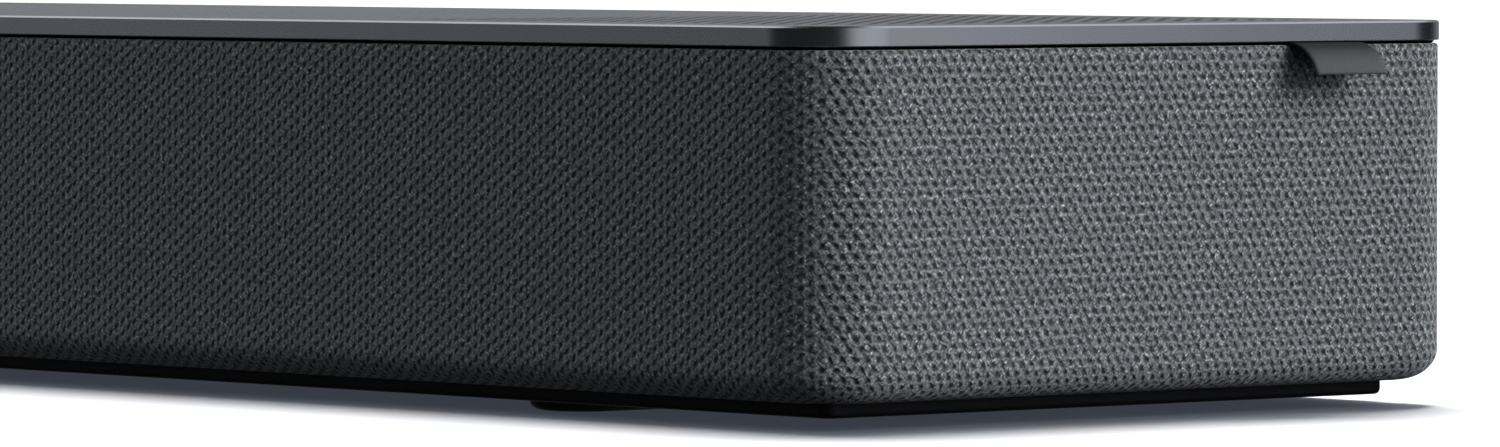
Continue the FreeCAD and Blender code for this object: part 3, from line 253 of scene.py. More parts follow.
# large soft lamps: (azimuth, elevation) each shines from, how wide it looks in degrees, its power and tint,
# and whether it is for the floor or for the bar
lampSetup = {
    "overFloor": {"from": (142, 69), "width": 32, "power": 5.2, "tint": (1.0, 1.0, 1.0), "lights": "floor"},
    "rightKey": {"from": (24, 29), "width": 40, "power": 2.75, "tint": (1.0, 0.99, 0.98), "lights": "bar"},
    "frontFill": {"from": (-120, 50), "width": 60, "power": 0.30, "tint": (0.93, 0.96, 1.0), "lights": "bar"},
    "backFill": {"from": (104, 30), "width": 60, "power": 1.7, "tint": (0.97, 0.98, 1.0), "lights": "bar"},
    "leftFill": {"from": (172, 30), "width": 60, "power": 1.6, "tint": (0.97, 0.98, 1.0), "lights": "bar"},
}


def hangLamps(setup):
    onlyFloor = bpy.data.collections.new("floorLit")
    onlyFloor.objects.link(floor)
    notFloor = bpy.data.collections.new("barLit")
    notFloor.objects.link(floor)
    notFloor.collection_objects[0].light_linking.link_state = "EXCLUDE"
    for name, lamp in setup.items():
        data = bpy.data.lights.new(name, "SUN")
        data.energy = lamp["power"]
        data.angle = math.radians(lamp["width"])
        data.color = lamp["tint"]
        made = bpy.data.objects.new(name, data)
        scene.collection.objects.link(made)
        source = heading(*lamp["from"])
        made.rotation_euler = source.to_track_quat("Z", "Y").to_euler()
        made.location = source * lampDistance
        made.visible_glossy = False
        made.light_linking.receiver_collection = onlyFloor if lamp["lights"] == "floor" else notFloor


hangLamps(lampSetup)
print("camera, floor and lamps are set")


# finishes

def newFinish(name, colour=(0.5, 0.5, 0.5), rough=0.5, metal=0.0, **sockets):
    made = bpy.data.materials.new(name)
    made.use_nodes = True
    tree = made.node_tree
    shader = tree.nodes["Principled BSDF"]
    shader.inputs["Base Color"].default_value = (*colour, 1.0)
    shader.inputs["Roughness"].default_value = rough
    shader.inputs["Metallic"].default_value = metal
    for key, setting in sockets.items():
        shader.inputs[key.replace("_", " ")].default_value = setting
    made.diffuse_color = (*colour, 1.0)
    return made, tree, shader


def partPoint(tree):
    # place on the part, in millimetres
    where = addNode(tree, "ShaderNodeTexCoord").outputs["Object"]
    return vectorMaths(tree, "SCALE", where, scale=1.0 / mm)


def grain(tree, where, scale, detail=2.0, stretch=None, output="Fac"):
    if stretch:
        where = vectorMaths(tree, "MULTIPLY", where, stretch)
    made = addNode(tree, "ShaderNodeTexNoise")
    plug(tree, where, made.inputs["Vector"])
    made.inputs["Scale"].default_value = scale
    made.inputs["Detail"].default_value = detail
    return made.outputs[output]


def emboss(tree, shader, height, depth):
    # raises the surface by height, where a height of 1 stands depth mm proud
    bump = addNode(tree, "ShaderNodeBump")
    bump.inputs["Distance"].default_value = depth * mm
    bump.inputs["Strength"].default_value = 1.0
    plug(tree, height, bump.inputs["Height"])
    tree.links.new(bump.outputs["Normal"], shader.inputs["Normal"])


def shaded(colour, factor):
    return tuple(min(1.0, c * factor) for c in colour)


# every plain finish: colour, roughness, metal and shine where they differ from the usual, grain size per mm,
# grain depth in mm, how much the colour wanders, and how the grain is stretched
plainFinishes = {
    "black_plastic": {"colour": (0.0035, 0.0035, 0.004), "rough": 0.55, "shine": 0.16, "size": 1.6,
                      "depth": 0.05, "wander": 0.25},
    "rear_plastic": {"colour": (0.016, 0.016, 0.017), "rough": 0.5, "size": 1.4, "depth": 0.06,
                     "wander": 0.25},
    "foot_rubber": {"colour": (0.010, 0.010, 0.011), "rough": 0.78, "size": 3.0, "depth": 0.04,
                    "wander": 0.3},
    "basket_steel": {"colour": (0.05, 0.05, 0.055), "rough": 0.45, "metal": 0.6, "size": 2.2, "depth": 0.04,
                     "wander": 0.2},
    "surround_rubber": {"colour": (0.014, 0.014, 0.015), "rough": 0.6, "size": 5.0, "depth": 0.02,
                        "wander": 0.25},
    "key_plastic": {"colour": (0.020, 0.020, 0.022), "rough": 0.42, "size": 4.0, "depth": 0.015,
                    "wander": 0.15},
    "bare_aluminium": {"colour": (0.62, 0.62, 0.63), "rough": 0.38, "metal": 1.0, "size": 1.0, "depth": 0.03,
                       "wander": 0.12, "stretch": (0.08, 4.0, 4.0)},
    "brass": {"colour": (0.72, 0.52, 0.22), "rough": 0.3, "metal": 1.0, "size": 1.5, "depth": 0.02,
              "wander": 0.15, "stretch": (3.0, 3.0, 0.4)},
    "screw_steel": {"colour": (0.10, 0.10, 0.11), "rough": 0.35, "metal": 1.0, "size": 2.5, "depth": 0.02,
                    "wander": 0.2},
    "socket_steel": {"colour": (0.50, 0.50, 0.51), "rough": 0.30, "metal": 1.0, "size": 1.8, "depth": 0.015,
                     "wander": 0.1, "stretch": (0.2, 3.0, 3.0)},
    # near-black, as painted shade in the gap under the cover
    "gap_foam": {"colour": (0.004, 0.004, 0.004), "rough": 0.9, "shine": 0.1, "size": 2.0, "depth": 0.2,
                 "wander": 0.4},
    "lead_jacket": {"colour": (0.03, 0.03, 0.032), "rough": 0.5, "size": 1.4, "depth": 0.03, "wander": 0.2},
    "capacitor_sleeve": {"colour": (0.02, 0.022, 0.05), "rough": 0.32, "size": 0.8, "depth": 0.02,
                         "wander": 0.3},
}
usualShine = 0.5
cloudSize = 0.05      # per mm, the broad patches in a plain finish


def plainFinish(name, spec):
    made, tree, shader = newFinish(name, spec["colour"], spec["rough"], spec.get("metal", 0.0),
                                   Specular_IOR_Level=spec.get("shine", usualShine))
    where = partPoint(tree)
    fine = grain(tree, where, spec["size"], 3.0, spec.get("stretch"))
    broad = grain(tree, where, cloudSize)
    wander = mixedTone(tree, fine, broad, 0.5, 0.5)
    low, high = shaded(spec["colour"], 1 - spec["wander"]), shaded(spec["colour"], 1 + spec["wander"])
    tree.links.new(blendColours(tree, wander, low, high), shader.inputs["Base Color"])
    rough = ramp(tree, fine, 0.3, 0.7, spec["rough"] - 0.06, spec["rough"] + 0.08)
    plug(tree, rough, shader.inputs["Roughness"])
    emboss(tree, shader, fine, spec["depth"])
    return made


finishes = {name: plainFinish(name, spec) for name, spec in plainFinishes.items()}

coverFinish = {
    "colour": (0.43, 0.44, 0.465),
    "rough": 0.27,
    "beadSize": 6.0,       # blasted grain per mm
    "beadDepth": 0.004,    # mm
    "cloudSize": 0.02,     # faint patches per mm
}


def anodisedFinish(spec):
    made, tree, shader = newFinish("anodised_cover", spec["colour"], spec["rough"], 1.0)
    where = partPoint(tree)
    bead = grain(tree, where, spec["beadSize"])
    cloud = ramp(tree, grain(tree, where, spec["cloudSize"], 3.0), 0.35, 0.65)
    colour = blendColours(tree, cloud, *(shaded(spec["colour"], 1 + change) for change in (-0.03, 0.03)))
    # painted glint: where the bead grain is high, the colour is painted a little brighter
    paintedGlint = ramp(tree, bead, 0.3, 0.7, 0.0, 0.12)
    colour = blendColours(tree, paintedGlint, colour, shaded(spec["colour"], 1.3))
    tree.links.new(colour, shader.inputs["Base Color"])
    rough = ramp(tree, bead, 0.3, 0.7, spec["rough"] - 0.02, spec["rough"] + 0.04)
    plug(tree, rough, shader.inputs["Roughness"])
    emboss(tree, shader, bead, spec["beadDepth"])
    return made


finishes["anodised_cover"] = anodisedFinish(coverFinish)

knitFinish = {
    "frontCell": (3.41, 2.14),       # mm, the holes' repeat along and down the front and back
    "frontHole": (45, 1.25, 0.80),   # how the holes lie: turn in degrees, then stretch along and across
    "endCell": (2.11, 3.28),         # mm, the same on the two ends, where the cloth runs the other way
    "endHole": (-40, 1.22, 0.84),
    "holeEdge": (0.08, 0.86),        # mm from a hole's middle, where the yarn starts and is full
    "wander": 0.30,                  # mm, how far the holes stray
    "wanderScale": 0.55,             # per mm
    "endFrom": (0.45, 0.85),         # how far the surface has turned to the end where that run fades in
    "dark": (0.030, 0.033, 0.040),
    "light": (0.290, 0.318, 0.336),
    "fleck": (0.92, 0.93, 0.98),
    "hollow": 0.22,                  # how bright the holes' floor is: painted shade in the holes, together with the dark backing seen through them
    "fibreScale": 2.1,               # per mm
    "fibreStretch": (0.6, 1.6, 1.0),
    "fibreTurn": 42,                 # degrees, one way in half of the stitches and the other way in the rest
    "speckScale": 1.5,
    "melange": (0.36, 0.64),         # tone where the light yarn starts and is full
    "fleckFibre": (0.56, 0.72),      # the same for the bright flecks, in the fibres and in the specks
    "fleckSpeck": (0.48, 0.62),
    "relief": 0.62,                  # mm
}


def holeDistance(tree, where, cell, hole):
    # distance to the nearest hole of a staggered row, in mm
    size = (*cell, 1.0)
    turn, along, across = hole
    found = []
    for shift in (0.0, 0.5):
        scaled = vectorMaths(tree, "ADD", vectorMaths(tree, "DIVIDE", where, size), (shift, shift, 0.0))
        inside = vectorMaths(tree, "SUBTRACT", vectorMaths(tree, "FRACTION", scaled), (0.5, 0.5, 0.0))
        inside = vectorMaths(tree, "MULTIPLY", inside, (*cell, 0.0))
        turned = addNode(tree, "ShaderNodeVectorRotate", rotation_type="Z_AXIS")
        plug(tree, inside, turned.inputs["Vector"])
        turned.inputs["Angle"].default_value = math.radians(-turn)
        oval = vectorMaths(tree, "DIVIDE", turned.outputs["Vector"], (along, across, 1.0))
        found.append(vectorMaths(tree, "LENGTH", oval))
    return maths(tree, "MINIMUM", *found)


def crossedWaves(tree, where, repeats):
    # two waves at right angles, from their repeats in mm
    parts = axes(tree, where)
    waves = [maths(tree, "SINE", maths(tree, "MULTIPLY", parts[i], 2 * math.pi / repeats[i])) for i in (0, 1)]
    return maths(tree, "MULTIPLY", *waves)


def strandSide(tree, where, cell):
    # 0 or 1: which way the yarn slants at this place
    return maths(tree, "GREATER_THAN", crossedWaves(tree, where, cell), 0.0)


def fibres(tree, where, angle, spec):
    turned = addNode(tree, "ShaderNodeVectorRotate", rotation_type="Z_AXIS")
    plug(tree, where, turned.inputs["Vector"])
    turned.inputs["Angle"].default_value = math.radians(angle)
    return grain(tree, turned.outputs["Vector"], spec["fibreScale"], 3.0, spec["fibreStretch"])


def melangeFinish(spec):
    made, tree, shader = newFinish("melange_knit", spec["dark"], 0.85, 0.0, Specular_IOR_Level=0.25,
                                   Sheen_Weight=0.25, Sheen_Roughness=0.5)
    cloth = addNode(tree, "ShaderNodeUVMap", uv_map="knitRun").outputs["UV"]
    stray = grain(tree, cloth, spec["wanderScale"], output="Color")
    moved = vectorMaths(tree, "SUBTRACT", stray, (0.5, 0.5, 0.5))
    moved = vectorMaths(tree, "SCALE", moved, scale=spec["wander"] * 2)
    where = vectorMaths(tree, "ADD", cloth, moved)
    facing = axes(tree, addNode(tree, "ShaderNodeTexCoord").outputs["Normal"])
    onEnd = ramp(tree, maths(tree, "ABSOLUTE", facing[0]), *spec["endFrom"])
    gaps = [holeDistance(tree, where, spec[run + "Cell"], spec[run + "Hole"]) for run in ("front", "end")]
    yarn = ramp(tree, blendNumbers(tree, onEnd, *gaps), *spec["holeEdge"])
    slants = [strandSide(tree, where, spec[run + "Cell"]) for run in ("front", "end")]
    strands = [fibres(tree, cloth, turn, spec) for turn in (spec["fibreTurn"], -spec["fibreTurn"])]
    fibre = blendNumbers(tree, blendNumbers(tree, onEnd, *slants), *strands)
    speck = grain(tree, cloth, spec["speckScale"], 1.0)
    melange = ramp(tree, mixedTone(tree, fibre, speck, 0.62, 0.38), *spec["melange"])
    colour = blendColours(tree, melange, spec["dark"], spec["light"])
    bright = maths(tree, "MULTIPLY", ramp(tree, fibre, *spec["fleckFibre"]),
                   ramp(tree, speck, *spec["fleckSpeck"]))
    colour = blendColours(tree, bright, colour, spec["fleck"])
    # painted shade: the yarn's colour is darkened in the holes, which also show the dark backing through them
    hollow = ramp(tree, yarn, 0.0, 1.0, spec["hollow"], 1.0, smooth=False)
    tree.links.new(blendColours(tree, 1.0, colour, hollow, "MULTIPLY"), shader.inputs["Base Color"])
    emboss(tree, shader, mixedTone(tree, yarn, fibre, 0.75, 0.35), spec["relief"])
    return made


finishes["melange_knit"] = melangeFinish(knitFinish)


# plain weaves: thread repeats across and along in mm, how much the colour changes from thread to thread, the
# cloth's own map where it has one, and a painted shade as mm along the cloth from and to, with the tone from
# and to: it darkens the label towards the seam, where the cover's overhang shades it
wovenFinishes = {
    "woven_label": {"colour": (0.082, 0.085, 0.092), "threads": (0.34, 0.52), "depth": 0.03, "rough": 0.62,
                    "spread": 0.85, "map": "labelRun", "paintedShade": (6.0, 12.2, 0.02, 1.0)},
    "dust_cloth": {"colour": (0.010, 0.010, 0.011), "threads": (0.5, 0.5), "depth": 0.08, "rough": 0.8,
                   "spread": 0.4},
    "dome_silk": {"colour": (0.03, 0.03, 0.034), "threads": (0.4, 0.4), "depth": 0.03, "rough": 0.5,
                  "spread": 0.4},
}


def wovenFinish(name, spec):
    made, tree, shader = newFinish(name, spec["colour"], spec["rough"], 0.0, Specular_IOR_Level=0.3)
    if "map" in spec:
        where = addNode(tree, "ShaderNodeUVMap", uv_map=spec["map"]).outputs["UV"]
    else:
        where = partPoint(tree)
    thread = ramp(tree, crossedWaves(tree, where, spec["threads"]), -0.8, 0.8)
    tone = mixedTone(tree, thread, grain(tree, where, 3.0, 3.0), 0.5, 0.5)
    emboss(tree, shader, tone, spec["depth"])
    # painted shade: the label's tone is darkened towards the seam, where the cover's overhang shades it
    if "paintedShade" in spec:
        tone = maths(tree, "MULTIPLY", tone, ramp(tree, axes(tree, where)[1], *spec["paintedShade"]))
    low, high = shaded(spec["colour"], 1 - spec["spread"]), shaded(spec["colour"], 1 + spec["spread"])
    tree.links.new(blendColours(tree, tone, low, high), shader.inputs["Base Color"])
    return made


for name, spec in wovenFinishes.items():
    finishes[name] = wovenFinish(name, spec)

# pressed pulp with short fibres lying every way
conePaper = {
    "colour": (0.03, 0.03, 0.033),
    "dark": (0.016, 0.016, 0.018),
    "light": (0.060, 0.060, 0.066),
    "rough": 0.75,
    "pulpScale": 0.9,       # per mm
    "fibreScale": 0.8,
    "fibreWidth": 0.12,
    "depth": 0.12,          # mm
}


def paperFinish(spec):
    made, tree, shader = newFinish("cone_paper", spec["colour"], spec["rough"])
    where = partPoint(tree)
    pulp = grain(tree, where, spec["pulpScale"], 5.0)
    cells = addNode(tree, "ShaderNodeTexVoronoi", feature="DISTANCE_TO_EDGE")
    plug(tree, where, cells.inputs["Vector"])
    cells.inputs["Scale"].default_value = spec["fibreScale"]
    fibre = ramp(tree, cells.outputs["Distance"], 0.0, spec["fibreWidth"], 1.0, 0.0)
    tone = mixedTone(tree, pulp, fibre, 0.7, 0.3)
    tree.links.new(blendColours(tree, tone, spec["dark"], spec["light"]), shader.inputs["Base Color"])
    emboss(tree, shader, tone, spec["depth"])
    return made


# solder mask over copper runs, with tinned pads
circuitBoard = {
    "colour": (0.01, 0.07, 0.035),
    "mask": (0.008, 0.055, 0.028),
    "run": (0.02, 0.12, 0.055),
    "pad": (0.55, 0.55, 0.52),
    "rough": 0.35,
    "runs": {"Scale": 0.35, "Mortar Size": 0.06, "Brick Width": 1.3, "Row Height": 0.45},
    "padScale": 0.28,       # per mm
    "padEdge": (0.10, 0.14),
    "depth": 0.04,          # mm
}


def boardFinish(spec):
    made, tree, shader = newFinish("circuit_board", spec["colour"], spec["rough"])
    where = partPoint(tree)
    tracks = addNode(tree, "ShaderNodeTexBrick", offset=0.37, squash=0.7)
    plug(tree, where, tracks.inputs["Vector"])
    for key, setting in spec["runs"].items():
        tracks.inputs[key].default_value = setting
    run = tracks.outputs["Fac"]
    dots = addNode(tree, "ShaderNodeTexVoronoi")
    plug(tree, where, dots.inputs["Vector"])
    dots.inputs["Scale"].default_value = spec["padScale"]
    pad = ramp(tree, dots.outputs["Distance"], *spec["padEdge"], 1.0, 0.0)
    colour = blendColours(tree, run, spec["mask"], spec["run"])
    tree.links.new(blendColours(tree, pad, colour, spec["pad"]), shader.inputs["Base Color"])
    plug(tree, maths(tree, "MULTIPLY", pad, 0.9), shader.inputs["Metallic"])
    emboss(tree, shader, maths(tree, "ADD", run, pad), spec["depth"])
    return made


# even stripes across one axis of the part: x is 0 and z is 2, and the pitch and depth are in mm
stripedFinishes = {
    "transformer_core": {"colours": ((0.07, 0.06, 0.055), (0.02, 0.018, 0.017)), "axis": 2, "pitch": 0.5,
                         "share": 0.7, "rough": 0.45, "metal": 0.7, "depth": 0.05},
    "ribbon_plastic": {"colours": ((0.55, 0.53, 0.48), (0.75, 0.74, 0.70)), "axis": 0, "pitch": 1.0,
                       "share": 0.5, "rough": 0.4, "metal": 0.0, "depth": 0.05},
}


def stripedFinish(name, spec):
    first, second = spec["colours"]
    made, tree, shader = newFinish(name, first, spec["rough"], spec["metal"])
    where = partPoint(tree)
    repeat = maths(tree, "FRACT", maths(tree, "DIVIDE", axes(tree, where)[spec["axis"]], spec["pitch"]))
    line = ramp(tree, repeat, spec["share"], spec["share"] + 0.12)
    wear = ramp(tree, grain(tree, where, 1.3, 3.0), 0.4, 0.8, 0.0, 0.35)
    colour = blendColours(tree, wear, blendColours(tree, line, first, second), shaded(first, 0.5))
    tree.links.new(colour, shader.inputs["Base Color"])
    emboss(tree, shader, line, spec["depth"])
    return made


finishes["cone_paper"] = paperFinish(conePaper)
finishes["circuit_board"] = boardFinish(circuitBoard)
for name, spec in stripedFinishes.items():
    finishes[name] = stripedFinish(name, spec)

# the black parts at the back are a shade greyer than the others
rearParts = ("rear_panel_left", "connector_panel", "rear_panel_right", "connector_pan", "inlet_pan")
for row in frame["record"]["subparts"]:
    part = nodes[row["node"]]
    finish = finishes["rear_plastic" if row["node"] in rearParts else row["material_slot"]]
    if not part.material_slots:
        part.data.materials.append(finish)
    for place in part.material_slots:
        place.material = finish
print("finishes on the carried-over parts:", len(finishes))


# mesh helpers

def addPiece(name, bm, finish, body, stands, sharp=35.0):
    mesh = bpy.data.meshes.new(name)
    bmesh.ops.recalc_face_normals(bm, faces=bm.faces)
    bm.to_mesh(mesh)
    bm.free()
    mesh.materials.append(finishes[finish])
    mesh.polygons.foreach_set("use_smooth", [True] * len(mesh.polygons))
    mesh.set_sharp_from_angle(angle=math.radians(sharp))
    piece = bpy.data.objects.new(name, mesh)
    scene.collection.objects.link(piece)
    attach(piece, body)
    if stands:
        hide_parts(*stands)
    return piece


def roundedOutline(halfX, halfY, radius, steps):
    # points round a rectangle with round corners, anticlockwise from the back end of its right-hand side
    out = []
    for turn, (sx, sy) in enumerate(((1, 1), (-1, 1), (-1, -1), (1, -1))):
        cx, cy = sx * (halfX - radius), sy * (halfY - radius)
        for k in range(steps + 1):
            a = math.radians(90 * turn + 90 * k / steps)
            out.append((cx + radius * math.cos(a), cy + radius * math.sin(a)))
    return out


def addLoop(bm, points, z):
    return [bm.verts.new((x * mm, y * mm, z * mm)) for x, y in points]


def bridge(bm, first, second):
    for k in range(len(first)):
        n = (k + 1) % len(first)
        bm.faces.new((first[k], first[n], second[n], second[k]))


def bridgeAll(bm, loops):
    for first, second in zip(loops, loops[1:]):
        bridge(bm, first, second)


def weave(bm, layer, grid, where):
    # joins the rows of a grid; where gives each point's place in the flat cloth, in mm
    for first, second in zip(grid, grid[1:]):
        for k in range(len(first) - 1):
            face = bm.faces.new((first[k], first[k + 1], second[k + 1], second[k]))
            for loop in face.loops:
                loop[layer].uv = where[loop.vert]


def thicken(piece, thickness, offset=0.0):
    # half of it to each side, or all of it inwards with an offset of -1
    made = piece.modifiers.new("clothThickness", "SOLIDIFY")
    made.thickness = thickness * mm
    made.offset = offset


# the anodised cover, with its two perforated fields

sameHeight = 1e-7      # metres

cover = {
    "halfLength": 500.0,      # mm
    "halfDepth": 72.5,
    "corner": 14.0,
    "top": 65.0,
    "sheetUnder": 63.8,
    "rimUnder": 61.7,
    "rimWidth": 3.0,
    "rimRound": 0.15,
    "chamfer": 0.3,
    "holePitch": 3.0,         # between rows, which run at 45 degrees
    "holeRadius": 0.95,
    "holeSides": 12,
    "fieldX": 426.0,          # middle of the field over each end
    "fieldColumns": 25,       # lattice steps each side of the middle
    "fieldRows": 26,
    "keyPlaces": ((-33, -45), (-11, -45), (11, -45), (33, -45)),
    "keyHole": 4.7,           # radius
    "keyHoleSides": 40,
    "cornerSteps": 20,
}


def circle(x, y, radius, sides):
    angles = (2 * math.pi * k / sides for k in range(sides))
    return [(x + radius * math.cos(a), y + radius * math.sin(a)) for a in angles]


def perforate(bm, spec, z, centre):
    # diamond cells, each with a round hole in it; gives back the rings of the holes
    step = spec["holePitch"] / math.sqrt(2.0)
    sides = spec["holeSides"]
    quarter = sides // 4
    corners, rings = {}, []

    def corner(i, j):
        if (i, j) not in corners:
            corners[i, j] = bm.verts.new(((centre + i * step) * mm, j * step * mm, z * mm))
        return corners[i, j]

    for i in range(-spec["fieldColumns"], spec["fieldColumns"] + 1):
        for j in range(-spec["fieldRows"], spec["fieldRows"] + 1):
            if (i + j) % 2:
                continue
            ring = addLoop(bm, circle(centre + i * step, j * step, spec["holeRadius"], sides), z)
            tips = [corner(i + 1, j), corner(i, j + 1), corner(i - 1, j), corner(i, j - 1)]
            for q in range(4):
                # each half of a quarter ring fans out to its own tip, with a four-sided face between them
                near, far = tips[q], tips[(q + 1) % 4]
                for k in range(quarter):
                    a = ring[(q * quarter + k) % sides]
                    b = ring[(q * quarter + k + 1) % sides]
                    if quarter % 2 and k == quarter // 2:
                        bm.faces.new((near, far, b, a))
                    else:
                        bm.faces.new((near if k < quarter / 2 else far, b, a))
            rings.append(ring)
    return rings


def coverSide(bm, spec, z, outline):
    # one flat side of the sheet: perforated fields, key holes, and the plain metal round them
    holes = perforate(bm, spec, z, -spec["fieldX"]) + perforate(bm, spec, z, spec["fieldX"])
    inHoles = {vert for ring in holes for vert in ring}
    edges = [e for e in bm.edges if len(e.link_faces) == 1 and abs(e.verts[0].co.z - z * mm) < sameHeight
             and not (e.verts[0] in inHoles and e.verts[1] in inHoles)]
    outer = addLoop(bm, outline, z)
    keyRings = [addLoop(bm, circle(x, y, spec["keyHole"], spec["keyHoleSides"]), z)
                for x, y in spec["keyPlaces"]]
    for loop in [outer] + keyRings:
        edges += [bm.edges.new((loop[k], loop[(k + 1) % len(loop)])) for k in range(len(loop))]
    bmesh.ops.triangle_fill(bm, edges=edges, use_beauty=True)
    return outer, holes + keyRings


def buildCover(spec):
    bm = bmesh.new()

    def outline(inset):
        return roundedOutline(spec["halfLength"] - inset, spec["halfDepth"] - inset, spec["corner"] - inset,
                              spec["cornerSteps"])

    topOuter, topHoles = coverSide(bm, spec, spec["top"], outline(spec["chamfer"]))
    underOuter, underHoles = coverSide(bm, spec, spec["sheetUnder"], outline(spec["rimWidth"]))
    edge = addLoop(bm, outline(0.0), spec["top"] - spec["chamfer"])
    skirt = addLoop(bm, outline(0.0), spec["rimUnder"] + spec["rimRound"])
    lip = addLoop(bm, outline(spec["rimRound"]), spec["rimUnder"])
    rim = addLoop(bm, outline(spec["rimWidth"]), spec["rimUnder"])
    bridgeAll(bm, (topOuter, edge, skirt, lip, rim, underOuter))
    for above, below in zip(topHoles, underHoles):
        bridge(bm, above, below)
    return addPiece("cover_plate", bm, "anodised_cover", "root", ["top_cover"], 30.0)


coverPlate = buildCover(cover)
print("cover plate:", len(coverPlate.data.polygons), "faces")


# the knitted wrap

wrap = {
    "halfLength": 499.8,      # mm
    "halfDepth": 72.3,
    "corner": 13.8,
    "openingHalf": 478.0,     # the back is open between these
    "top": 61.2,
    "bottom": 4.5,
    "curveIn": 6.75,          # how far the bottom edge turns under
    "curveUp": 5.2,           # and how high that curve starts
    "thickness": 0.8,
    # (how far in, how far down from the top) of the folded top edge
    "fold": ((1.6, 0.25), (0.9, 0.0), (0.35, 0.03), (0.08, 0.22), (0.0, 0.6)),
    "cornerSteps": 18,
    "straightStep": 12.0,
    "wallRows": 22,
    "curveRows": 14,
}


def wrapPath(spec):
    # (x, y, outward x, outward y, run) from the right-hand end of the back opening, round the front, to its
    # left-hand end
    hx, hy, r = spec["halfLength"], spec["halfDepth"], spec["corner"]
    path = []

    def straight(x0, y0, x1, y1, nx, ny):
        count = max(1, round(math.hypot(x1 - x0, y1 - y0) / spec["straightStep"]))
        for k in range(count):
            t = k / count
            path.append((x0 + (x1 - x0) * t, y0 + (y1 - y0) * t, nx, ny))

    def bend(cx, cy, start):
        for k in range(spec["cornerSteps"]):
            a = math.radians(start - 90.0 * k / spec["cornerSteps"])
            path.append((cx + r * math.cos(a), cy + r * math.sin(a), math.cos(a), math.sin(a)))

    straight(spec["openingHalf"], hy, hx - r, hy, 0, 1)
    bend(hx - r, hy - r, 90)
    straight(hx, hy - r, hx, r - hy, 1, 0)
    bend(hx - r, r - hy, 0)
    straight(hx - r, -hy, r - hx, -hy, 0, -1)
    bend(r - hx, r - hy, -90)
    straight(-hx, r - hy, -hx, hy - r, -1, 0)
    bend(r - hx, hy - r, 180)
    straight(r - hx, hy, -spec["openingHalf"], hy, 0, 1)
    path.append((-spec["openingHalf"], hy, 0, 1))
    runs, run = [], 0.0
    for k, point in enumerate(path):
        if k:
            run += math.hypot(point[0] - path[k - 1][0], point[1] - path[k - 1][1])
        runs.append((*point, run))
    return runs


def wrapProfile(spec):
    # (inset, height, run) from the folded top edge down and under
    points = [(inset, spec["top"] - down) for inset, down in spec["fold"]]
    high, low = points[-1][1], spec["bottom"] + spec["curveUp"]
    rows = spec["wallRows"]
    points += [(0.0, high + (low - high) * k / rows) for k in range(1, rows + 1)]
    for k in range(1, spec["curveRows"] + 1):
        a = math.pi / 2 * k / spec["curveRows"]
        points.append((spec["curveIn"] * (1 - math.cos(a)), low - spec["curveUp"] * math.sin(a)))
    run, out = 0.0, []
    for k, (inset, height) in enumerate(points):
        if k:
            run += math.hypot(inset - points[k - 1][0], height - points[k - 1][1])
        out.append((inset, height, run))
    return out


def buildWrap(spec):
    path, profile = wrapPath(spec), wrapProfile(spec)
    bm = bmesh.new()
    layer = bm.loops.layers.uv.new("knitRun")
    grid, where = [], {}
    for x, y, nx, ny, run in path:
        row = []
        for inset, height, down in profile:
            vert = bm.verts.new(((x - nx * inset) * mm, (y - ny * inset) * mm, height * mm))
            where[vert] = (run, down)
            row.append(vert)
        grid.append(row)
    weave(bm, layer, grid, where)
    piece = addPiece("knit_wrap", bm, "melange_knit", "root", ["fabric_wrap"], 60.0)
    sample = piece.data.polygons[len(profile) * 3]
    if sample.normal.y < 0 and sample.center.y > 0:      # a face at the back has to look backwards
        piece.data.flip_normals()
    thicken(piece, spec["thickness"], -1.0)
    return piece


knitWrap = buildWrap(wrap)
print("knitted wrap:", len(knitWrap.data.polygons), "faces")


# the near-black foam strip that closes the gap under the cover; the strip is a guess, and its colour is
# painted shade for that gap

shadowGapFoam = {       # mm
    "outerInset": 3.7,
    "squarer": 7.0,           # how much tighter than the cover's its corners are, so that they fill the gap
    "width": 2.2,
    "bottom": 61.2,
    "top": 63.75,
    "rounding": 0.4,
    "steps": 10,
}


def buildShadowGapFoam(spec):
    bm = bmesh.new()
    loops = []
    width, bottom, top, rounding = spec["width"], spec["bottom"], spec["top"], spec["rounding"]
    section = ((rounding, bottom), (0, bottom + rounding), (0, top - rounding), (rounding, top),
               (width - rounding, top), (width, top - rounding), (width, bottom + rounding),
               (width - rounding, bottom))
    for inward, height in section:
        inset = inward + spec["outerInset"]
        outline = roundedOutline(cover["halfLength"] - inset, cover["halfDepth"] - inset,
                                 cover["corner"] - inset - spec["squarer"], spec["steps"])
        loops.append(addLoop(bm, outline, height))
    bridgeAll(bm, loops + loops[:1])
    addPiece("gap_foam", bm, "gap_foam", "root", [])


buildShadowGapFoam(shadowGapFoam)
print("gap foam made")


# the blank label tab at the right-hand end

labelTab = {
    "back": 45.5,             # mm, its two edges
    "front": 29.5,
    "start": 496.5,           # hidden under the cover
    "bendFrom": 500.0,
    "height": 61.42,          # of its middle where it comes out
    "radius": 7.3,
    "turn": 72.0,             # degrees
    "thickness": 0.38,
    "curl": 0.10,             # how far its cut edges curl in
    "curlPower": 8,           # the higher, the closer to the edge the curl stays
    "flatSteps": 4,
    "bendSteps": 24,
    "across": 26,
}


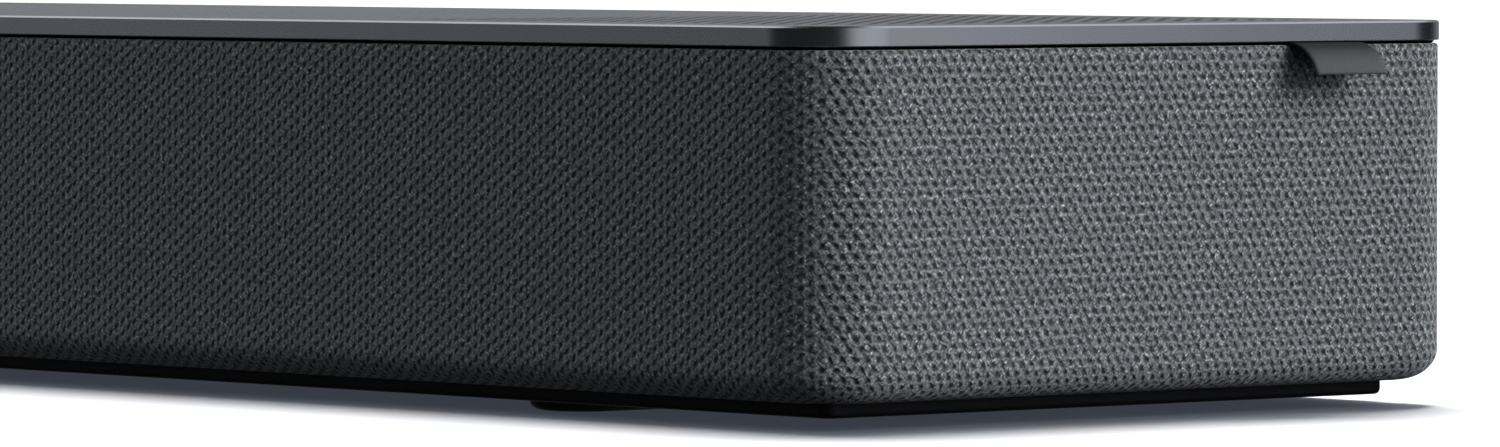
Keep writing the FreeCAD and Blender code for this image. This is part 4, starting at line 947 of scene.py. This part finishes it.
def buildLabel(spec):
    flat, bend, across = spec["flatSteps"], spec["bendSteps"], spec["across"]
    length = spec["bendFrom"] - spec["start"]
    line = [(spec["start"] + length * k / flat, spec["height"]) for k in range(flat)]
    for k in range(bend + 1):
        a = math.radians(90 - spec["turn"] * k / bend)
        line.append((spec["bendFrom"] + spec["radius"] * math.cos(a),
                     spec["height"] - spec["radius"] + spec["radius"] * math.sin(a)))
    runs = [0.0]
    for a, b in zip(line, line[1:]):
        runs.append(runs[-1] + math.hypot(b[0] - a[0], b[1] - a[1]))
    bm = bmesh.new()
    layer = bm.loops.layers.uv.new("labelRun")
    width, where, grid = spec["back"] - spec["front"], {}, []
    for (x, z), run in zip(line, runs):
        row = []
        for k in range(across + 1):
            t = k / across
            curl = spec["curl"] * abs(2 * t - 1) ** spec["curlPower"] * min(1.0, run / runs[-1] * 2)
            vert = bm.verts.new(((x - curl) * mm, (spec["front"] + width * t) * mm, (z - curl * 0.5) * mm))
            where[vert] = (width * t, run)
            row.append(vert)
        grid.append(row)
    weave(bm, layer, grid, where)
    piece = addPiece("label_tab_cloth", bm, "woven_label", "root", ["label_tab"], 60.0)
    thicken(piece, spec["thickness"])


buildLabel(labelTab)
print("label tab made")


# dust cloths under the perforated fields

dustCloth = {"halfX": 56.0, "halfY": 57.5, "height": 63.5, "thickness": 0.3, "cells": 24}      # mm


def buildDustCloth(side, spec):
    bm = bmesh.new()
    count = spec["cells"]
    grid = [[bm.verts.new(((side * cover["fieldX"] + spec["halfX"] * (2 * i / count - 1)) * mm,
                           spec["halfY"] * (2 * j / count - 1) * mm, spec["height"] * mm))
             for j in range(count + 1)] for i in range(count + 1)]
    for i in range(count):
        for j in range(count):
            bm.faces.new((grid[i][j], grid[i + 1][j], grid[i + 1][j + 1], grid[i][j + 1]))
    word = "right" if side > 0 else "left"
    piece = addPiece("dust_cloth_" + word, bm, "dust_cloth", "root", ["dust_screen_" + word])
    thicken(piece, spec["thickness"])


for side in (-1, 1):
    buildDustCloth(side, dustCloth)
print("dust cloths made")


# rubber feet

footPad = {
    "halfLength": 22.0,       # mm
    "halfWidth": 9.0,
    "height": 2.2,
    "steps": 14,
    "straight": 0.01,         # half of what stays straight in the middle of each round end
    # (share of the height, how far in) from the flat underside up to the case
    "layers": ((0.0, 2.6), (0.03, 1.9), (0.12, 1.1), (0.26, 0.5), (0.45, 0.12), (0.62, 0.0), (1.0, 0.0)),
    "columns": {"left": -412, "right": 412},
    "rows": {"front": -36, "rear": 33},
}


def buildFoot(name, footX, footY, spec):
    bm = bmesh.new()
    loops = []
    for share, inset in spec["layers"]:
        halfWidth = spec["halfWidth"] - inset
        shape = roundedOutline(halfWidth, spec["halfLength"] - inset, halfWidth - spec["straight"],
                               spec["steps"])
        loops.append(addLoop(bm, [(x + footX, y + footY) for x, y in shape], share * spec["height"]))
    bridgeAll(bm, loops)
    for loop in (loops[0], loops[-1]):
        bm.faces.new(loop)
    addPiece("foot_pad_" + name, bm, "foot_rubber", "root", ["foot_" + name])


for row, y in footPad["rows"].items():
    for column, x in footPad["columns"].items():
        buildFoot(row + "_" + column, x, y, footPad)
print("feet made")


# the four keys in the cover

keyCap = {
    "radius": 4.4,            # mm
    "bottom": 62.8,
    "top": 65.0,
    "edge": 0.35,             # rounding of the rim
    "dish": 0.28,             # how deep the middle is
    "steps": 48,
    "edgeSteps": 5,
    "dishSteps": 8,
    "signHeight": 0.12,
    "signWidth": 0.55,
    # (share of half the width, share of the height) across a sign's bar
    "signSection": ((-1.0, -0.1), (-1.0, 0.6), (-0.5, 1.0), (0.5, 1.0), (1.0, 0.6), (1.0, -0.1)),
    "signRows": (-1.0, -0.9, 0.9, 1.0),      # shares of its half length
    # each key's raised sign, from left to right, as bars of (half length, turn in degrees)
    "signs": {
        "key_power": ((1.4, 90),),
        "key_input": ((1.6, 45),),
        "key_volume_down": ((1.6, 0),),
        "key_volume_up": ((1.6, 0), (1.6, 90)),
    },
}


def dishHeight(spec, r):
    return spec["top"] - spec["dish"] * max(0.0, 1 - (r / (spec["radius"] - spec["edge"])) ** 2) ** 0.5


def addSignBar(bm, spec, x, y, halfLength, turn):
    # a small raised bar with a rounded top and lower ends, standing on the dished face
    cosine, sine = math.cos(math.radians(turn)), math.sin(math.radians(turn))
    rows = []
    for share in spec["signRows"]:
        along = share * halfLength
        rise = spec["signHeight"] * (1.0 if abs(share) < 1 else 0.5)
        row = []
        for across, lift in spec["signSection"]:
            side = across * spec["signWidth"] / 2
            dx, dy = along * cosine - side * sine, along * sine + side * cosine
            z = min(dishHeight(spec, math.hypot(dx, dy)) + rise * lift, spec["top"])
            row.append(bm.verts.new(((x + dx) * mm, (y + dy) * mm, z * mm)))
        rows.append(row)
    bridgeAll(bm, rows)
    bm.faces.new(rows[0])
    bm.faces.new(rows[-1])


def buildKey(node, x, y, spec):
    bm = bmesh.new()
    r, edge = spec["radius"], spec["edge"]
    rings = [(r, spec["bottom"])]
    for k in range(spec["edgeSteps"] + 1):
        a = math.pi / 2 * k / spec["edgeSteps"]
        rings.append((r - edge + edge * math.cos(a), spec["top"] - edge + edge * math.sin(a)))
    for k in range(1, spec["dishSteps"]):
        inner = (r - edge) * (1 - k / spec["dishSteps"])
        rings.append((inner, dishHeight(spec, inner)))
    loops = [addLoop(bm, circle(x, y, radius, spec["steps"]), height) for radius, height in rings]
    bridgeAll(bm, loops)
    bm.faces.new(loops[0])
    bm.faces.new(loops[-1])
    for halfLength, turn in spec["signs"][node]:
        addSignBar(bm, spec, x, y, halfLength, turn)
    addPiece(node + "_cap", bm, "key_plastic", node, [node])


for node, (x, y) in zip(keyCap["signs"], cover["keyPlaces"]):
    buildKey(node, x, y, keyCap)
print("keys made")
